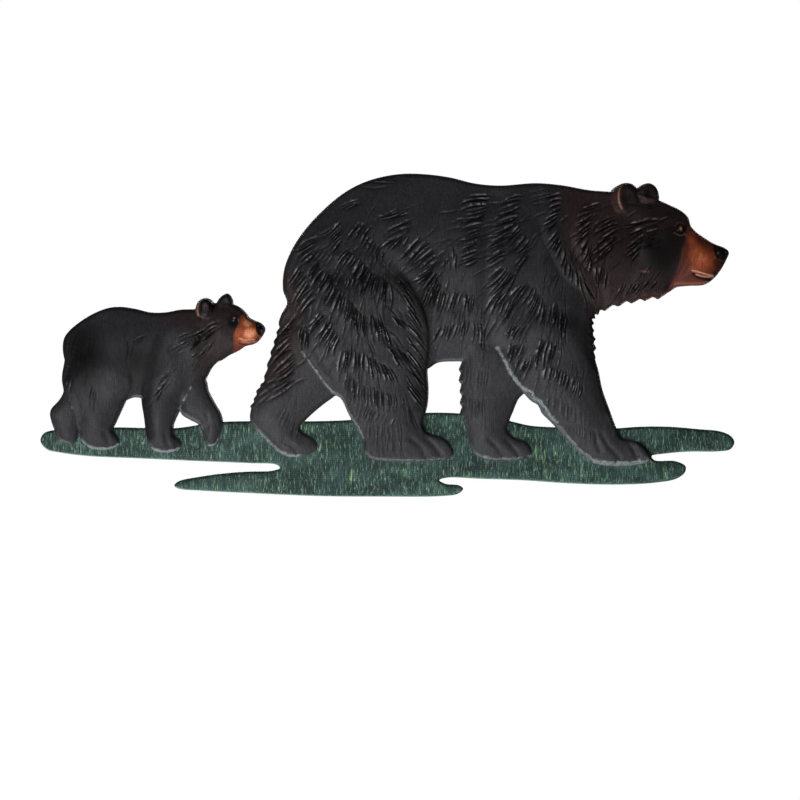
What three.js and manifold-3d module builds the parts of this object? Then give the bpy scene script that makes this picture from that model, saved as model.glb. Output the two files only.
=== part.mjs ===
// Wall sculpture: a mother bear and her cub walk along a strip of grass, all pressed from one
// printed steel sheet with its edges turned back, and hung on a keyhole bracket.
// Millimetres. X runs along the sculpture, Z is up and it faces -Y. The wall is the plane y = 0.
import * as THREE from "three";
import { mergeVertices } from "three/addons/utils/BufferGeometryUtils.js";
import Module from "manifold-3d";

// The sheet and its grass strip
const GRASS_LENGTH = 610;
const GRASS_STANDOFF = 6; // from the wall to the face of the grass
const SHEET_THICKNESS = 0.9;
const EDGE_WIDTH = 3; // the turned edge, seen from the front

// The bears: nose to tail, height of the relief above the grass face, and where the rear of each
// stands, from the grass strip's left tip and foot
const MOTHER = { length: 420, relief: 22, place: { x: 184.3, z: 27.2 } };
const CUB = { length: 190, relief: 13, place: { x: 7.9, z: 38.6 } };

// The bracket, a folded channel with a keyhole in its middle plate
const HANGER_WIDTH = 36;
const HANGER_SHEET = 1.2;
const HANGER_DROP = 21; // from the top of the mother's back down to the bracket's bearing point
const PLATE_ABOVE = 5; // plate above the bearing point
const PLATE_BELOW = 21; // plate below the bearing point
const KEYHOLE_RADIUS = 4.5;
const SLOT_RADIUS = 2.5;
const SLOT_TOP = 3; // from the bearing point down to the top of the slot
const SLOT_LENGTH = 7; // between the centres of the slot's top and of the keyhole
const WELD_GAP = 0.3; // between the bracket's walls and the sheet

// How finely the solid follows the pressed form
const TRACE_STEP = 1;
const OUTLINE_TOLERANCE = 0.3;
const RING_TOLERANCE = 0.5;
const SEAM_TOLERANCE = 0.45;
const LONGEST_EDGE = 13;
const LONGEST_SEAM = 7;
const SEED_SPACING = 18;
const SEED_ROW = SEED_SPACING * Math.sqrt(0.75);
const CLOSEST_POINTS = 1.6;
const RELIEF_TOLERANCE = 0.12;
const MOST_POINTS = 2350;
const POINTS_A_ROUND = 60;
const STEEPEST = 2.2; // limit of the way through the sheet, in thicknesses

// Each figure is drawn on squared paper of so many squares to its length. Points are [along, up]
// in its own squares, and crowns, creases and bumps are in squares too. A level is a share of the
// figure's relief. Parts are listed from the farthest to the nearest, and a part with a lift
// stands at least so much above what it lies on, except near the point where it fades into it.
const MOTHER_DRAWING = {
  squares: 479,
  parts: {
    farEar: {
      outline: [
        [385, 273], [391, 280.5], [400, 283.2], [406, 280], [409.5, 273], [409, 264], [394, 260],
      ],
      crown: 8,
      edge: 0.45,
      levels: [[399, 272, 0.55]],
    },
    farHindLeg: {
      outline: [
        [40, 154], [30, 139], [26.5, 128], [22.5, 115], [18, 99], [14, 84], [8.5, 76], [5, 66],
        [1, 57], [0, 46], [4, 39.5], [14, 28.5], [26, 16.5], [36, 10], [50, 9.3], [61, 12],
        [68, 19], [63.5, 28], [53, 34], [50.5, 39], [54.5, 44.3], [64, 53.5], [75, 62.5],
        [84, 69], [98, 81], [90, 116], [62, 144],
      ],
      fringe: { from: 1, to: 8, tufts: 9, depth: 2 },
      crown: 20,
      edge: 0.25,
      levels: [[60, 120, 0.6], [35, 75, 0.5], [35, 25, 0.35]],
    },
    farForeleg: {
      outline: [
        [212, 128], [212, 104], [211, 90], [212, 76], [212.3, 62], [212.5, 48], [217, 36],
        [220.5, 20], [227, 10.5], [239, 6], [260, 5], [275, 6.8], [282.5, 13.5], [277, 24],
        [264, 29], [258, 36], [260, 45], [264, 55], [269, 66.5], [274.5, 72.2], [286, 82],
        [278, 116], [245, 134],
      ],
      fringe: { from: 1, to: 5, tufts: 5, depth: 2.5 },
      crown: 20,
      edge: 0.25,
      levels: [[240, 105, 0.6], [240, 60, 0.5], [250, 18, 0.38]],
    },
    body: {
      outline: [
        [50, 126], [29, 140], [31, 151], [37, 163], [33, 176], [34, 196], [41.5, 216],
        [54.5, 236], [73, 256], [92, 272], [110, 282.3], [130, 289], [152, 292.5], [175, 292.2],
        [200, 289], [225, 283], [250, 280.8], [286, 283.2], [312, 281.2], [340, 276.2],
        [365, 274], [390, 268], [410, 244], [418, 211], [420, 186], [415, 172.5], [395, 168],
        [372, 163.5], [350, 155.5], [343, 148], [342, 136], [344, 121], [342, 106], [310, 88],
        [275, 88], [247, 100], [228, 103.5], [205, 104.4], [188, 103], [178, 97], [145, 88],
        [95, 98],
      ],
      fringe: { from: 25, to: 32, tufts: 12, depth: 3.4 },
      crown: 52,
      edge: 0.2,
      levels: [
        [80, 200, 0.92], [170, 200, 0.86], [205, 130, 0.8], [285, 190, 0.95],
        [350, 225, 0.74], [390, 215, 0.66],
      ],
    },
    nearHindLeg: {
      hasLocks: true,
      outline: [
        [112, 214], [78, 211], [53, 198], [41, 176], [39, 151], [43, 133], [50, 116], [65, 95],
        [82, 73], [91, 67], [98, 53], [106, 37.5], [113.5, 25], [114, 15], [121, 7.5],
        [140, 4.7], [170, 4.5], [195, 6], [204, 11.5], [202, 20], [193, 28.5], [178, 33.5],
        [173.5, 41], [178, 61], [179, 76], [178, 97], [180, 120], [178.5, 142], [169, 169],
        [154, 190], [138, 204],
      ],
      fade: { x: 70, z: 205, reach: 85 },
      crown: 34,
      edge: 0.3,
      lift: 3,
      levels: [[100, 160, 1.08], [135, 110, 1], [138, 60, 0.8], [140, 25, 0.6], [185, 16, 0.45]],
    },
    nearForeleg: {
      underCollars: true,
      outline: [
        [250, 148], [247, 118], [254, 102], [265, 84], [274.5, 72.2], [282, 64.5], [288, 61],
        [292.5, 52.5], [300, 45], [310, 34.5], [320, 23], [332, 11.5], [344, 3], [362, -0.2],
        [385, 1], [398, 3.5], [400.5, 9.5], [393, 20.5], [383, 26], [372, 28.5], [367.5, 37],
        [360, 57], [353, 77], [349.5, 94], [345, 111], [344.5, 126], [340, 148], [315, 166],
        [275, 168],
      ],
      fade: { x: 300, z: 168, reach: 66 },
      crown: 30,
      edge: 0.3,
      lift: 2.6,
      levels: [[300, 140, 1.02], [305, 90, 0.9], [325, 50, 0.72], [350, 18, 0.55], [385, 12, 0.42]],
    },
    head: {
      outline: [
        [362, 267], [382, 272.5], [407, 267], [420, 261.5], [432, 255.5], [439, 249],
        [442, 240], [450, 232], [465, 222.5], [476, 218], [480, 214], [477.2, 206],
        [471, 195], [463, 186], [455, 181.2], [440, 180.2], [428, 179], [418, 173],
        [405, 171.5], [390, 170], [372, 167], [376, 180], [378, 193], [371, 204], [367, 215],
        [370, 230], [367, 250],
      ],
      fringe: { from: 17, to: 20, tufts: 5, depth: 2.6 },
      fade: { x: 362, z: 264, reach: 26 },
      crown: 30,
      edge: 0.25,
      lift: 2.6,
      levels: [[388, 222, 1.12], [412, 228, 1], [440, 222, 0.82], [462, 206, 0.7]],
    },
    muzzle: {
      outline: [
        [437, 235.5], [443, 236.5], [450, 232], [465, 222.5], [476, 218], [480, 214],
        [477.2, 206], [471, 195], [463, 186], [455, 181.2], [440, 180.2], [428, 179],
        [421, 176.5], [421.5, 185], [425, 196], [429, 207], [433, 223],
      ],
      crown: 17,
      edge: 0.3,
      lift: 0.8,
      levels: [[432, 205, 1], [450, 207, 0.98], [470, 208, 0.8]],
    },
    nearEar: {
      outline: [
        [361, 263], [361.5, 275], [368, 280.5], [376, 283.4], [383.5, 282], [388.5, 277],
        [390.5, 269], [386, 260], [377, 253], [367, 252.5],
      ],
      crown: 9,
      edge: 0.45,
      lift: 3,
      levels: [[376, 268, 0.95]],
    },
  },
  // Collars of long neck fur: what lies towards the head of each line stands higher
  collars: [
    {
      line: [[286, 290], [289, 256], [290, 232], [299, 210], [314, 185], [334, 168.5], [352, 148]],
      rise: 3.6,
      width: 13,
    },
    {
      line: [
        [347, 284], [338, 265], [323, 252], [319, 228], [327, 205], [340, 191], [350, 175],
        [356, 150],
      ],
      rise: 3.6,
      width: 12,
    },
  ],
  // Rows of long locks on the thigh: each hangs over the one below
  lockRows: [
    { line: [[81, 204], [93, 184], [116, 169], [142, 165], [165, 170]], locks: 11 },
    { line: [[72, 169], [88, 144], [114, 128], [144, 125], [171, 133]], locks: 12 },
    { line: [[61, 130], [80, 106], [107, 91], [142, 87], [175, 95]], locks: 12 },
    { line: [[88, 78], [106, 62], [138, 53], [174, 57]], locks: 9 },
  ],
  lockRise: 2.4,
  lockLength: 26,
  creases: [
    { line: [[246, 268], [239, 238], [237, 204], [236, 166], [240, 134]], depth: 2.6, width: 8 },
    { line: [[441, 191], [448, 187.5], [456, 185.8], [462, 187.5]], depth: 2, width: 2.2 },
    { line: [[344, 34], [347, 24], [350, 16]], depth: 2, width: 2.4 },
    { line: [[351, 33], [357, 22], [369, 9]], depth: 2, width: 2.4 },
    { line: [[380, 22], [386, 12], [391, 5]], depth: 1.8, width: 2.2 },
    { line: [[160, 28], [170, 20], [176, 9]], depth: 2, width: 2.4 },
    { line: [[176, 28], [185, 19], [192, 9]], depth: 2, width: 2.4 },
    { line: [[240, 26], [248, 18], [254, 9]], depth: 1.8, width: 2.2 },
    { line: [[256, 26], [264, 17], [270, 9]], depth: 1.8, width: 2.2 },
    { line: [[34, 24], [42, 20], [48, 13]], depth: 1.6, width: 2 },
  ],
  bumps: [
    { at: [430, 237], radii: [9, 7], height: -2 },
    { at: [430, 237], radii: [3.8, 3.4], height: 3 },
    { at: [422, 247], radii: [10, 4.5], height: 1.4 },
    { at: [472.5, 212.5], radii: [5.5, 5], height: 1.8 },
    { at: [475, 213], radii: [2.4, 1.6], height: -1.6 },
    { at: [376, 267], radii: [5.5, 10], height: -5 },
    { at: [399, 272], radii: [5, 7], height: -3 },
    { at: [305, 205], radii: [34, 42], height: 2.4 },
    { at: [85, 235], radii: [34, 26], height: 1.6 },
  ],
};

const CUB_DRAWING = {
  squares: 216,
  parts: {
    farEar: {
      outline: [
        [167, 148], [170, 154.5], [178, 159.2], [182.5, 155], [184, 148], [179, 143], [170, 143],
      ],
      crown: 6,
      edge: 0.45,
      levels: [[176, 150, 0.6]],
    },
    farHindLeg: {
      outline: [
        [19, 77], [13.5, 69], [14, 61], [10, 53], [2, 44], [0.5, 39], [2, 31], [6, 20.5],
        [11, 12], [20, 8.3], [27, 10.5], [29.5, 17], [33, 33], [31, 55],
      ],
      crown: 11,
      edge: 0.3,
      levels: [[20, 60, 0.6], [15, 18, 0.5]],
    },
    farForeleg: {
      outline: [
        [151, 83], [157.7, 71], [159.5, 62.5], [165.5, 50.5], [172, 39], [173.6, 32], [173, 24],
        [170, 15], [165.5, 8], [159.5, 6.2], [155.5, 11.5], [152.5, 22], [149, 28],
        [141, 32.5], [132, 38.5], [129, 53], [135, 71],
      ],
      crown: 11,
      edge: 0.3,
      levels: [[148, 60, 0.7], [163, 15, 0.55]],
    },
    body: {
      outline: [
        [17, 87], [13.3, 104], [15, 115], [21, 123], [33, 132.5], [46, 140], [59, 144.7],
        [71, 145.8], [86, 143.8], [101, 140.3], [116, 140.3], [131, 143], [147, 143.8],
        [165, 149], [187, 146], [197, 128], [189, 106], [173, 94.2], [164, 86.5], [158, 76],
        [151, 63], [135, 59], [116, 51], [94, 54], [85, 55.2], [75, 52], [51, 51], [31, 61],
      ],
      crown: 30,
      edge: 0.22,
      levels: [[50, 100, 0.95], [100, 95, 0.85], [150, 110, 0.95]],
    },
    nearHindLeg: {
      outline: [
        [39, 113], [19, 101], [13.8, 85], [12.5, 72], [15, 62], [21, 53], [26, 41], [29.5, 23],
        [32.5, 13], [39, 6], [48, 3.2], [59, 3.5], [67, 6.5], [71, 11], [69, 16.5], [64, 23],
        [67, 30], [72, 41], [77, 52], [84, 68], [77, 95], [59, 109],
      ],
      fade: { x: 42, z: 108, reach: 42 },
      crown: 17,
      edge: 0.32,
      lift: 2,
      levels: [[50, 82, 1.12], [50, 35, 0.85], [50, 10, 0.6]],
    },
    nearForeleg: {
      outline: [
        [109, 115], [100, 97], [96, 81], [92, 63], [92, 51], [94.5, 35], [96.5, 20], [100, 8],
        [106, 2], [117, 0.3], [127, 2], [132.5, 7.5], [130.5, 13.5], [125, 18.5], [124.5, 27],
        [129, 38.5], [135, 50], [140, 61], [147, 81], [141, 103], [125, 115],
      ],
      fade: { x: 124, z: 112, reach: 42 },
      crown: 17,
      edge: 0.32,
      lift: 1.8,
      levels: [[120, 88, 1.15], [112, 40, 0.88], [112, 10, 0.62]],
    },
    head: {
      outline: [
        [143, 131], [147, 144], [165, 149.5], [184, 148.3], [192, 144.3], [197, 139.5],
        [200, 135.2], [206, 132], [211.5, 129.6], [215.2, 126], [216, 122.8], [213.5, 117],
        [208, 110.5], [203, 108], [196, 106.4], [190, 102.3], [180, 97.4], [169, 91.5],
        [155, 101], [146, 115],
      ],
      fade: { x: 148, z: 112, reach: 34 },
      crown: 19,
      edge: 0.28,
      lift: 1.6,
      levels: [[168, 124, 1.2], [192, 122, 1.05], [210, 120, 0.9]],
    },
    muzzle: {
      outline: [
        [197, 139.5], [200, 135.2], [206, 132], [211.5, 129.6], [215.2, 126], [216, 122.8],
        [213.5, 117], [208, 110.5], [203, 108], [196, 106.4], [191, 104], [186.5, 109],
        [185.5, 117], [189, 129],
      ],
      crown: 10,
      edge: 0.32,
      lift: 0.6,
      levels: [[200, 120, 1.15]],
    },
    nearEar: {
      outline: [
        [146, 144], [149, 151.5], [156, 154.7], [163, 152], [166, 145], [164.5, 137],
        [159, 132], [151, 133.5], [147, 138],
      ],
      crown: 6,
      edge: 0.45,
      lift: 2.4,
      levels: [[155, 143, 1.2]],
    },
  },
  collars: [],
  lockRows: [],
  lockRise: 0,
  lockLength: 1,
  creases: [
    { line: [[152, 124], [150, 112], [155, 100]], depth: 1.4, width: 5 },
    { line: [[192, 111.5], [198, 109.8], [205, 110], [210, 113]], depth: 1.2, width: 1.8 },
    { line: [[116, 20], [118, 12], [120, 4]], depth: 1.3, width: 2 },
    { line: [[124, 18], [127, 11], [129, 5]], depth: 1.3, width: 2 },
    { line: [[56, 20], [59, 13], [60, 6]], depth: 1.3, width: 2 },
    { line: [[158, 38], [159.5, 31], [157, 23]], depth: 1.2, width: 2 },
  ],
  bumps: [
    { at: [185, 133.5], radii: [7, 6], height: -1.2 },
    { at: [185, 133.5], radii: [3.2, 3], height: 1.8 },
    { at: [212.5, 123.5], radii: [4, 4.2], height: 1.2 },
    { at: [155.5, 143], radii: [4, 7.5], height: -3.2 },
    { at: [176, 150], radii: [3.5, 5], height: -1.8 },
  ],
};

// The grass strip's outline, in squares of its own drawing
const GRASS_DRAWING = {
  squares: 695,
  outline: [
    [0, 56], [3, 63], [10, 66], [35, 67], [74, 69.3], [104.5, 68.8], [136, 68.7], [160, 72],
    [182.6, 74.8], [210, 75.6], [264, 75.4], [310, 76.8], [350, 81], [388, 84], [421, 83.2],
    [450, 79], [470, 75.7], [490, 71.2], [515, 69.5], [550, 68.7], [577, 68.5], [600, 70],
    [630, 70], [660, 67.5], [680, 65.5], [691, 61], [695, 54.5], [691, 47.5], [678, 45.2],
    [650, 45], [625, 43], [612, 40.5], [615, 36.5], [636, 35.5], [646, 30.5], [645.5, 24.5],
    [637, 18], [615, 13.8], [575, 12], [530, 13.2], [480, 16.5], [440, 17.8], [408, 19],
    [399.3, 16.6], [406, 12.8], [419, 11.4], [423.5, 8], [418, 2.8], [400, 0.4], [340, 0],
    [280, 0.5], [220, 3], [160, 6], [138, 8], [134, 11], [138, 15.2], [160, 20], [185, 23.4],
    [210, 25.2], [231, 25.8], [240, 28.7], [236, 32], [210, 33.5], [160, 35.5], [100, 38.2],
    [45, 40.8], [20, 44], [6, 47.5],
  ],
};

// Shape of every part's edge, in squares
const CRISP_SEAM = 3;
const SOFT_SEAM = 30;
const LOCK_DROP = 0.26; // how far a lock hangs below its row, as a share of its length
const COLLAR_LIP = 0.6; // share of a collar's height that is in its crisp edge
const SOFT_OVERLAP = 3;
const FADE_END = 1.4; // where a part that fades is crisp again, in its own reaches
const CURVE_STEP = 3;
const TUFT_STEPS = 6;
const TUFT_LEAN = 0.7; // where along a tuft its tip is

const smooth = (u) => {
  const v = THREE.MathUtils.clamp(u, 0, 1);
  return v * v * (3 - 2 * v);
};
const dome = (u) => 1 - (1 - THREE.MathUtils.clamp(u, 0, 1)) ** 2;
const softMax = (a, b, reach) =>
  Math.max(a, b) + (reach / 4) * Math.max(0, 1 - Math.abs(a - b) / reach) ** 2;

// A smooth line through the drawn points; a fringe pushes tufts of fur out of one stretch of it
function curvePoints(points, closed, fringe) {
  const nodes = points.map(([x, z]) => new THREE.Vector3(x, 0, z));
  const curve = new THREE.CatmullRomCurve3(nodes, closed, "centripetal");
  const spans = closed ? points.length : points.length - 1;
  const turn = closed && THREE.ShapeUtils.area(points.map(([x, y]) => ({ x, y }))) > 0 ? 1 : -1;
  const line = [];
  for (let i = 0; i < spans; i++) {
    const inFringe = fringe && i >= fringe.from && i < fringe.to;
    const chord = nodes[i].distanceTo(nodes[(i + 1) % nodes.length]);
    const tufts = inFringe ? fringe.tufts / (fringe.to - fringe.from) : 0;
    const steps = Math.ceil(Math.max(chord / CURVE_STEP, tufts * TUFT_STEPS));
    for (let k = 0; k < steps; k++) {
      const t = (i + k / steps) / spans;
      const p = curve.getPoint(t);
      if (inFringe) {
        const phase = ((i - fringe.from + k / steps) * tufts) % 1;
        const push = phase < TUFT_LEAN ? phase / TUFT_LEAN : (1 - phase) / (1 - TUFT_LEAN);
        const along = curve.getTangent(t);
        p.x += along.z * push * fringe.depth * turn;
        p.z -= along.x * push * fringe.depth * turn;
      }
      line.push([p.x, p.z]);
    }
  }
  if (!closed) line.push(points.at(-1));
  return line;
}

// Distances to a line. A closed line counts as positive inside, and an open one on its left.
class Line {
  constructor(points, closed) {
    this.points = points;
    this.closed = closed;
    this.box = new THREE.Box2();
    for (const [x, y] of points) this.box.expandByPoint({ x, y });
    this.length = 0;
    this.starts = points.map(([x, z], i) => {
      const start = this.length;
      const next = points[i + 1];
      if (next) this.length += Math.hypot(next[0] - x, next[1] - z);
      return start;
    });
  }

  // Signed distance, how far along the line it is measured, and whether past an open line's end
  nearest(x, z) {
    const { points } = this;
    const count = this.closed ? points.length : points.length - 1;
    let best = Infinity;
    let side = 1;
    let along = 0;
    let inside = false;
    for (let i = 0; i < count; i++) {
      const [ax, az] = points[i];
      const [bx, bz] = points[(i + 1) % points.length];
      const dx = bx - ax;
      const dz = bz - az;
      const span = dx * dx + dz * dz || 1;
      const u = THREE.MathUtils.clamp(((x - ax) * dx + (z - az) * dz) / span, 0, 1);
      const gap = Math.hypot(x - ax - u * dx, z - az - u * dz);
      if (gap < best) {
        best = gap;
        side = dx * (z - az) - dz * (x - ax) >= 0 ? 1 : -1;
        along = this.starts[i] + u * Math.sqrt(span);
      }
      if (az > z !== bz > z && x < ax + ((z - az) / dz) * dx) inside = !inside;
    }
    if (this.closed) side = inside ? 1 : -1;
    return { distance: best * side, along: along / this.length };
  }

  // The point at one share of the line's length
  at(share) {
    const along = share * this.length;
    const i = Math.max(0, this.starts.findLastIndex((start) => start <= along));
    const [[ax, az], [bx, bz]] = [this.points[i], this.points[i + 1] ?? this.points[i]];
    const u = (along - this.starts[i]) / (Math.hypot(bx - ax, bz - az) || 1);
    return [ax + (bx - ax) * u, az + (bz - az) * u];
  }

  // A point of the line moved off it, to the side where distances are positive
  offset([x, z], distance) {
    const rise = (dx, dz) =>
      this.nearest(x + dx, z + dz).distance - this.nearest(x - dx, z - dz).distance;
    const off = new THREE.Vector2(rise(1, 0), rise(0, 1)).setLength(distance);
    return [x + off.x, z + off.y];
  }

  // How deep a point is inside a closed line; far outside its box, a quick estimate
  depth(x, z, margin) {
    const { min, max } = this.box;
    const out = Math.max(min.x - x, x - max.x, min.y - z, z - max.y);
    return out > margin ? -out : this.nearest(x, z).distance;
  }
}

const SEARCH_MARGIN = 4;

// One animal: its drawing at its own scale and place, and the height of its relief
class Figure {
  constructor({ length, relief, place }, drawing) {
    this.unit = length / drawing.squares;
    this.relief = relief / this.unit;
    this.place = place;
    this.drawing = drawing;
    this.parts = Object.values(drawing.parts).map((part) => ({
      ...part,
      line: new Line(curvePoints(part.outline, true, part.fringe), true),
      body: new Line(curvePoints(part.outline, true), true),
    }));
    this.thigh = this.parts.find((part) => part.hasLocks)?.body;
    const open = (item) => ({ ...item, line: new Line(curvePoints(item.line, false), false) });
    this.collars = drawing.collars.map(open);
    this.lockRows = drawing.lockRows.map(open);
    this.creases = drawing.creases.map(open);
  }

  toSquares(x, z) {
    return [(x - this.place.x) / this.unit, (z - this.place.z) / this.unit];
  }

  // Distance inside the whole animal's silhouette, in millimetres
  inside(x, z) {
    const [sx, sz] = this.toSquares(x, z);
    const margin = SEARCH_MARGIN / this.unit;
    return this.unit * Math.max(...this.parts.map(({ line }) => line.depth(sx, sz, margin)));
  }

  // Height of one part's own rounded form, in squares
  partHeight({ levels, crown, edge, body }, x, z) {
    let total = 0;
    let weights = 0;
    for (const [lx, lz, share] of levels) {
      const weight = 1 / ((x - lx) ** 2 + (z - lz) ** 2 + 1);
      total += share * weight;
      weights += weight;
    }
    const risen = dome(body.depth(x, z, 0) / crown);
    return this.relief * (total / weights) * (edge + (1 - edge) * risen);
  }

  // Height of the relief above the grass face, in millimetres
  height(x, z) {
    const [sx, sz] = this.toSquares(x, z);
    let height = 0;
    for (const part of this.parts) {
      const depth = part.line.depth(sx, sz, 0);
      if (depth > 0) {
        const { fade } = part;
        const away = fade ? Math.hypot(sx - fade.x, sz - fade.z) / fade.reach : FADE_END;
        const softness = smooth(FADE_END - away);
        const seam = CRISP_SEAM + (SOFT_SEAM - CRISP_SEAM) * softness;
        const over = height + (part.lift ?? 0) * (1 - softness);
        const own = softMax(this.partHeight(part, sx, sz), over, SOFT_OVERLAP);
        height += (own - height) * smooth(depth / seam);
      }
      if (part.underCollars) height += this.neckHeight(sx, sz, height);
    }
    if (height > 0) height = Math.max(0, height + this.carving(sx, sz));
    return height * this.unit;
  }

  // The collars lie on the body and legs, under the head
  neckHeight(x, z, below) {
    const sum = this.collars.reduce((total, { line, rise, width }) => {
      const { distance } = line.nearest(x, z);
      const lip = COLLAR_LIP * smooth(distance / CRISP_SEAM);
      return total + rise * (lip + (1 - COLLAR_LIP) * dome(distance / width));
    }, 0);
    return sum * smooth(below / CRISP_SEAM);
  }

  // Where the relief changes sharply: both sides of every seam that no nearer part covers
  seams() {
    const near = (i, x, z) =>
      this.parts.slice(i + 1).some(({ line }) => line.depth(x, z, 0) > 2 * CRISP_SEAM);
    const spots = this.parts.flatMap(({ line }, i) =>
      thinLoop(line.points, SEAM_TOLERANCE / this.unit, LONGEST_SEAM / this.unit)
        .filter(([x, z]) => !near(i, x, z))
        .flatMap((spot) => [spot, line.offset(spot, CRISP_SEAM)]),
    );
    for (const { line } of this.collars) {
      const steps = Math.ceil((line.length * this.unit) / LONGEST_SEAM);
      for (let k = 0; k <= steps; k++) {
        const spot = line.at(k / steps);
        spots.push(spot, line.offset(spot, CRISP_SEAM));
      }
    }
    for (const { line, locks } of this.lockRows) {
      for (let along = 0; along <= 1; along += 0.5 / locks) {
        const tip = this.lockTip(along, locks);
        spots.push(line.offset(line.at(along), -tip));
        spots.push(line.offset(line.at(along), CRISP_SEAM - tip));
      }
    }
    return spots.map(([x, z]) => [x * this.unit + this.place.x, z * this.unit + this.place.z]);
  }

  // How far a lock hangs below its row's line
  lockTip(along, locks) {
    return LOCK_DROP * this.drawing.lockLength * Math.abs(Math.sin(along * locks * Math.PI));
  }

  carving(x, z) {
    const { bumps, lockRise, lockLength } = this.drawing;
    let sum = 0;
    for (const { at, radii, height } of bumps) {
      const far = ((x - at[0]) / radii[0]) ** 2 + ((z - at[1]) / radii[1]) ** 2;
      sum += height * Math.exp(-far);
    }
    for (const { line, depth, width } of this.creases) {
      sum -= depth * Math.exp(-((line.nearest(x, z).distance / width) ** 2));
    }
    const onThigh = this.thigh ? this.thigh.depth(x, z, 0) : 0;
    if (onThigh <= 0) return sum;
    for (const { line, locks } of this.lockRows) {
      const { distance, along } = line.nearest(x, z);
      const up = distance + this.lockTip(along, locks);
      if (up > 0 && up < lockLength) {
        const edge = smooth(up / CRISP_SEAM) * smooth(onThigh / CRISP_SEAM);
        sum += lockRise * (1 - up / lockLength) * edge;
      }
    }
    return sum;
  }
}

const grassUnit = GRASS_LENGTH / GRASS_DRAWING.squares;
const grassLine = new Line(
  curvePoints(GRASS_DRAWING.outline, true).map(([x, z]) => [x * grassUnit, z * grassUnit]),
  true,
);
const figures = [new Figure(CUB, CUB_DRAWING), new Figure(MOTHER, MOTHER_DRAWING)];

// Distance inside the cut sheet's outline, and the front face's distance from the wall
const LIP = 2 * SHEET_THICKNESS; // the sheet seen across its steep turned edge
const insideSheet = (x, z) =>
  Math.max(grassLine.depth(x, z, SEARCH_MARGIN), ...figures.map((f) => f.inside(x, z)));
function frontDepth(x, z, inside) {
  const turned = THREE.MathUtils.clamp(inside / EDGE_WIDTH, 0, 1);
  const relief = Math.max(...figures.map((f) => f.height(x, z)));
  return LIP + (GRASS_STANDOFF - LIP) * turned + relief;
}

// The lines along which the sheet's depth inside its outline has one value
function traceLevel(level, field) {
  const { values, columns, rows, x0, z0 } = field;
  const at = (i, j) => values[j * columns + i] - level;
  const links = new Map();
  const spots = new Map();
  const crossing = (i, j, across) => {
    const key = (j * columns + i) * 2 + (across ? 0 : 1);
    if (!spots.has(key)) {
      const a = at(i, j);
      const b = across ? at(i + 1, j) : at(i, j + 1);
      const u = a / (a - b);
      const x = x0 + (i + (across ? u : 0)) * TRACE_STEP;
      const z = z0 + (j + (across ? 0 : u)) * TRACE_STEP;
      spots.set(key, [x, z]);
      links.set(key, []);
    }
    return key;
  };
  for (let j = 0; j < rows - 1; j++) {
    for (let i = 0; i < columns - 1; i++) {
      const corners = [at(i, j) > 0, at(i + 1, j) > 0, at(i + 1, j + 1) > 0, at(i, j + 1) > 0];
      const sides = [[i, j, true], [i + 1, j, false], [i, j + 1, true], [i, j, false]];
      const hit = [0, 1, 2, 3].filter((k) => corners[k] !== corners[(k + 1) % 4]);
      if (hit.length === 4) {
        const middle = at(i, j) + at(i + 1, j) + at(i, j + 1) + at(i + 1, j + 1) > 0;
        if (middle === corners[0]) hit.push(hit.shift());
      }
      for (let k = 0; k < hit.length; k += 2) {
        const [a, b] = [crossing(...sides[hit[k]]), crossing(...sides[hit[k + 1]])];
        links.get(a).push(b);
        links.get(b).push(a);
      }
    }
  }
  const loops = [];
  const seen = new Set();
  for (const start of spots.keys()) {
    if (seen.has(start)) continue;
    const loop = [];
    let here = start;
    while (here !== undefined && !seen.has(here)) {
      seen.add(here);
      loop.push(spots.get(here));
      here = links.get(here).find((next) => !seen.has(next));
    }
    loops.push(loop);
  }
  return loops;
}

// Keeps the points of a loop that its shape needs, then divides the long edges that are left
function thinLoop(loop, tolerance, longest = LONGEST_EDGE) {
  const keep = new Set([0, Math.floor(loop.length / 2)]);
  const split = (from, to) => {
    const [ax, az] = loop[from];
    const [bx, bz] = loop[to % loop.length];
    const span = Math.hypot(bx - ax, bz - az) || 1;
    let worst = 0;
    let place = -1;
    for (let i = from + 1; i < to; i++) {
      const [x, z] = loop[i];
      const off = Math.abs((bx - ax) * (z - az) - (bz - az) * (x - ax)) / span;
      if (off > worst) {
        worst = off;
        place = i;
      }
    }
    if (worst <= tolerance) return;
    keep.add(place);
    split(from, place);
    split(place, to);
  };
  split(0, Math.floor(loop.length / 2));
  split(Math.floor(loop.length / 2), loop.length);
  const kept = [...keep].sort((a, b) => a - b).map((i) => loop[i]);
  return kept.flatMap(([x, z], i) => {
    const [nx, nz] = kept[(i + 1) % kept.length];
    const parts = Math.ceil(Math.hypot(nx - x, nz - z) / longest);
    return Array.from({ length: parts }, (_, k) => [
      x + ((nx - x) * k) / parts,
      z + ((nz - z) * k) / parts,
    ]);
  });
}

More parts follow.
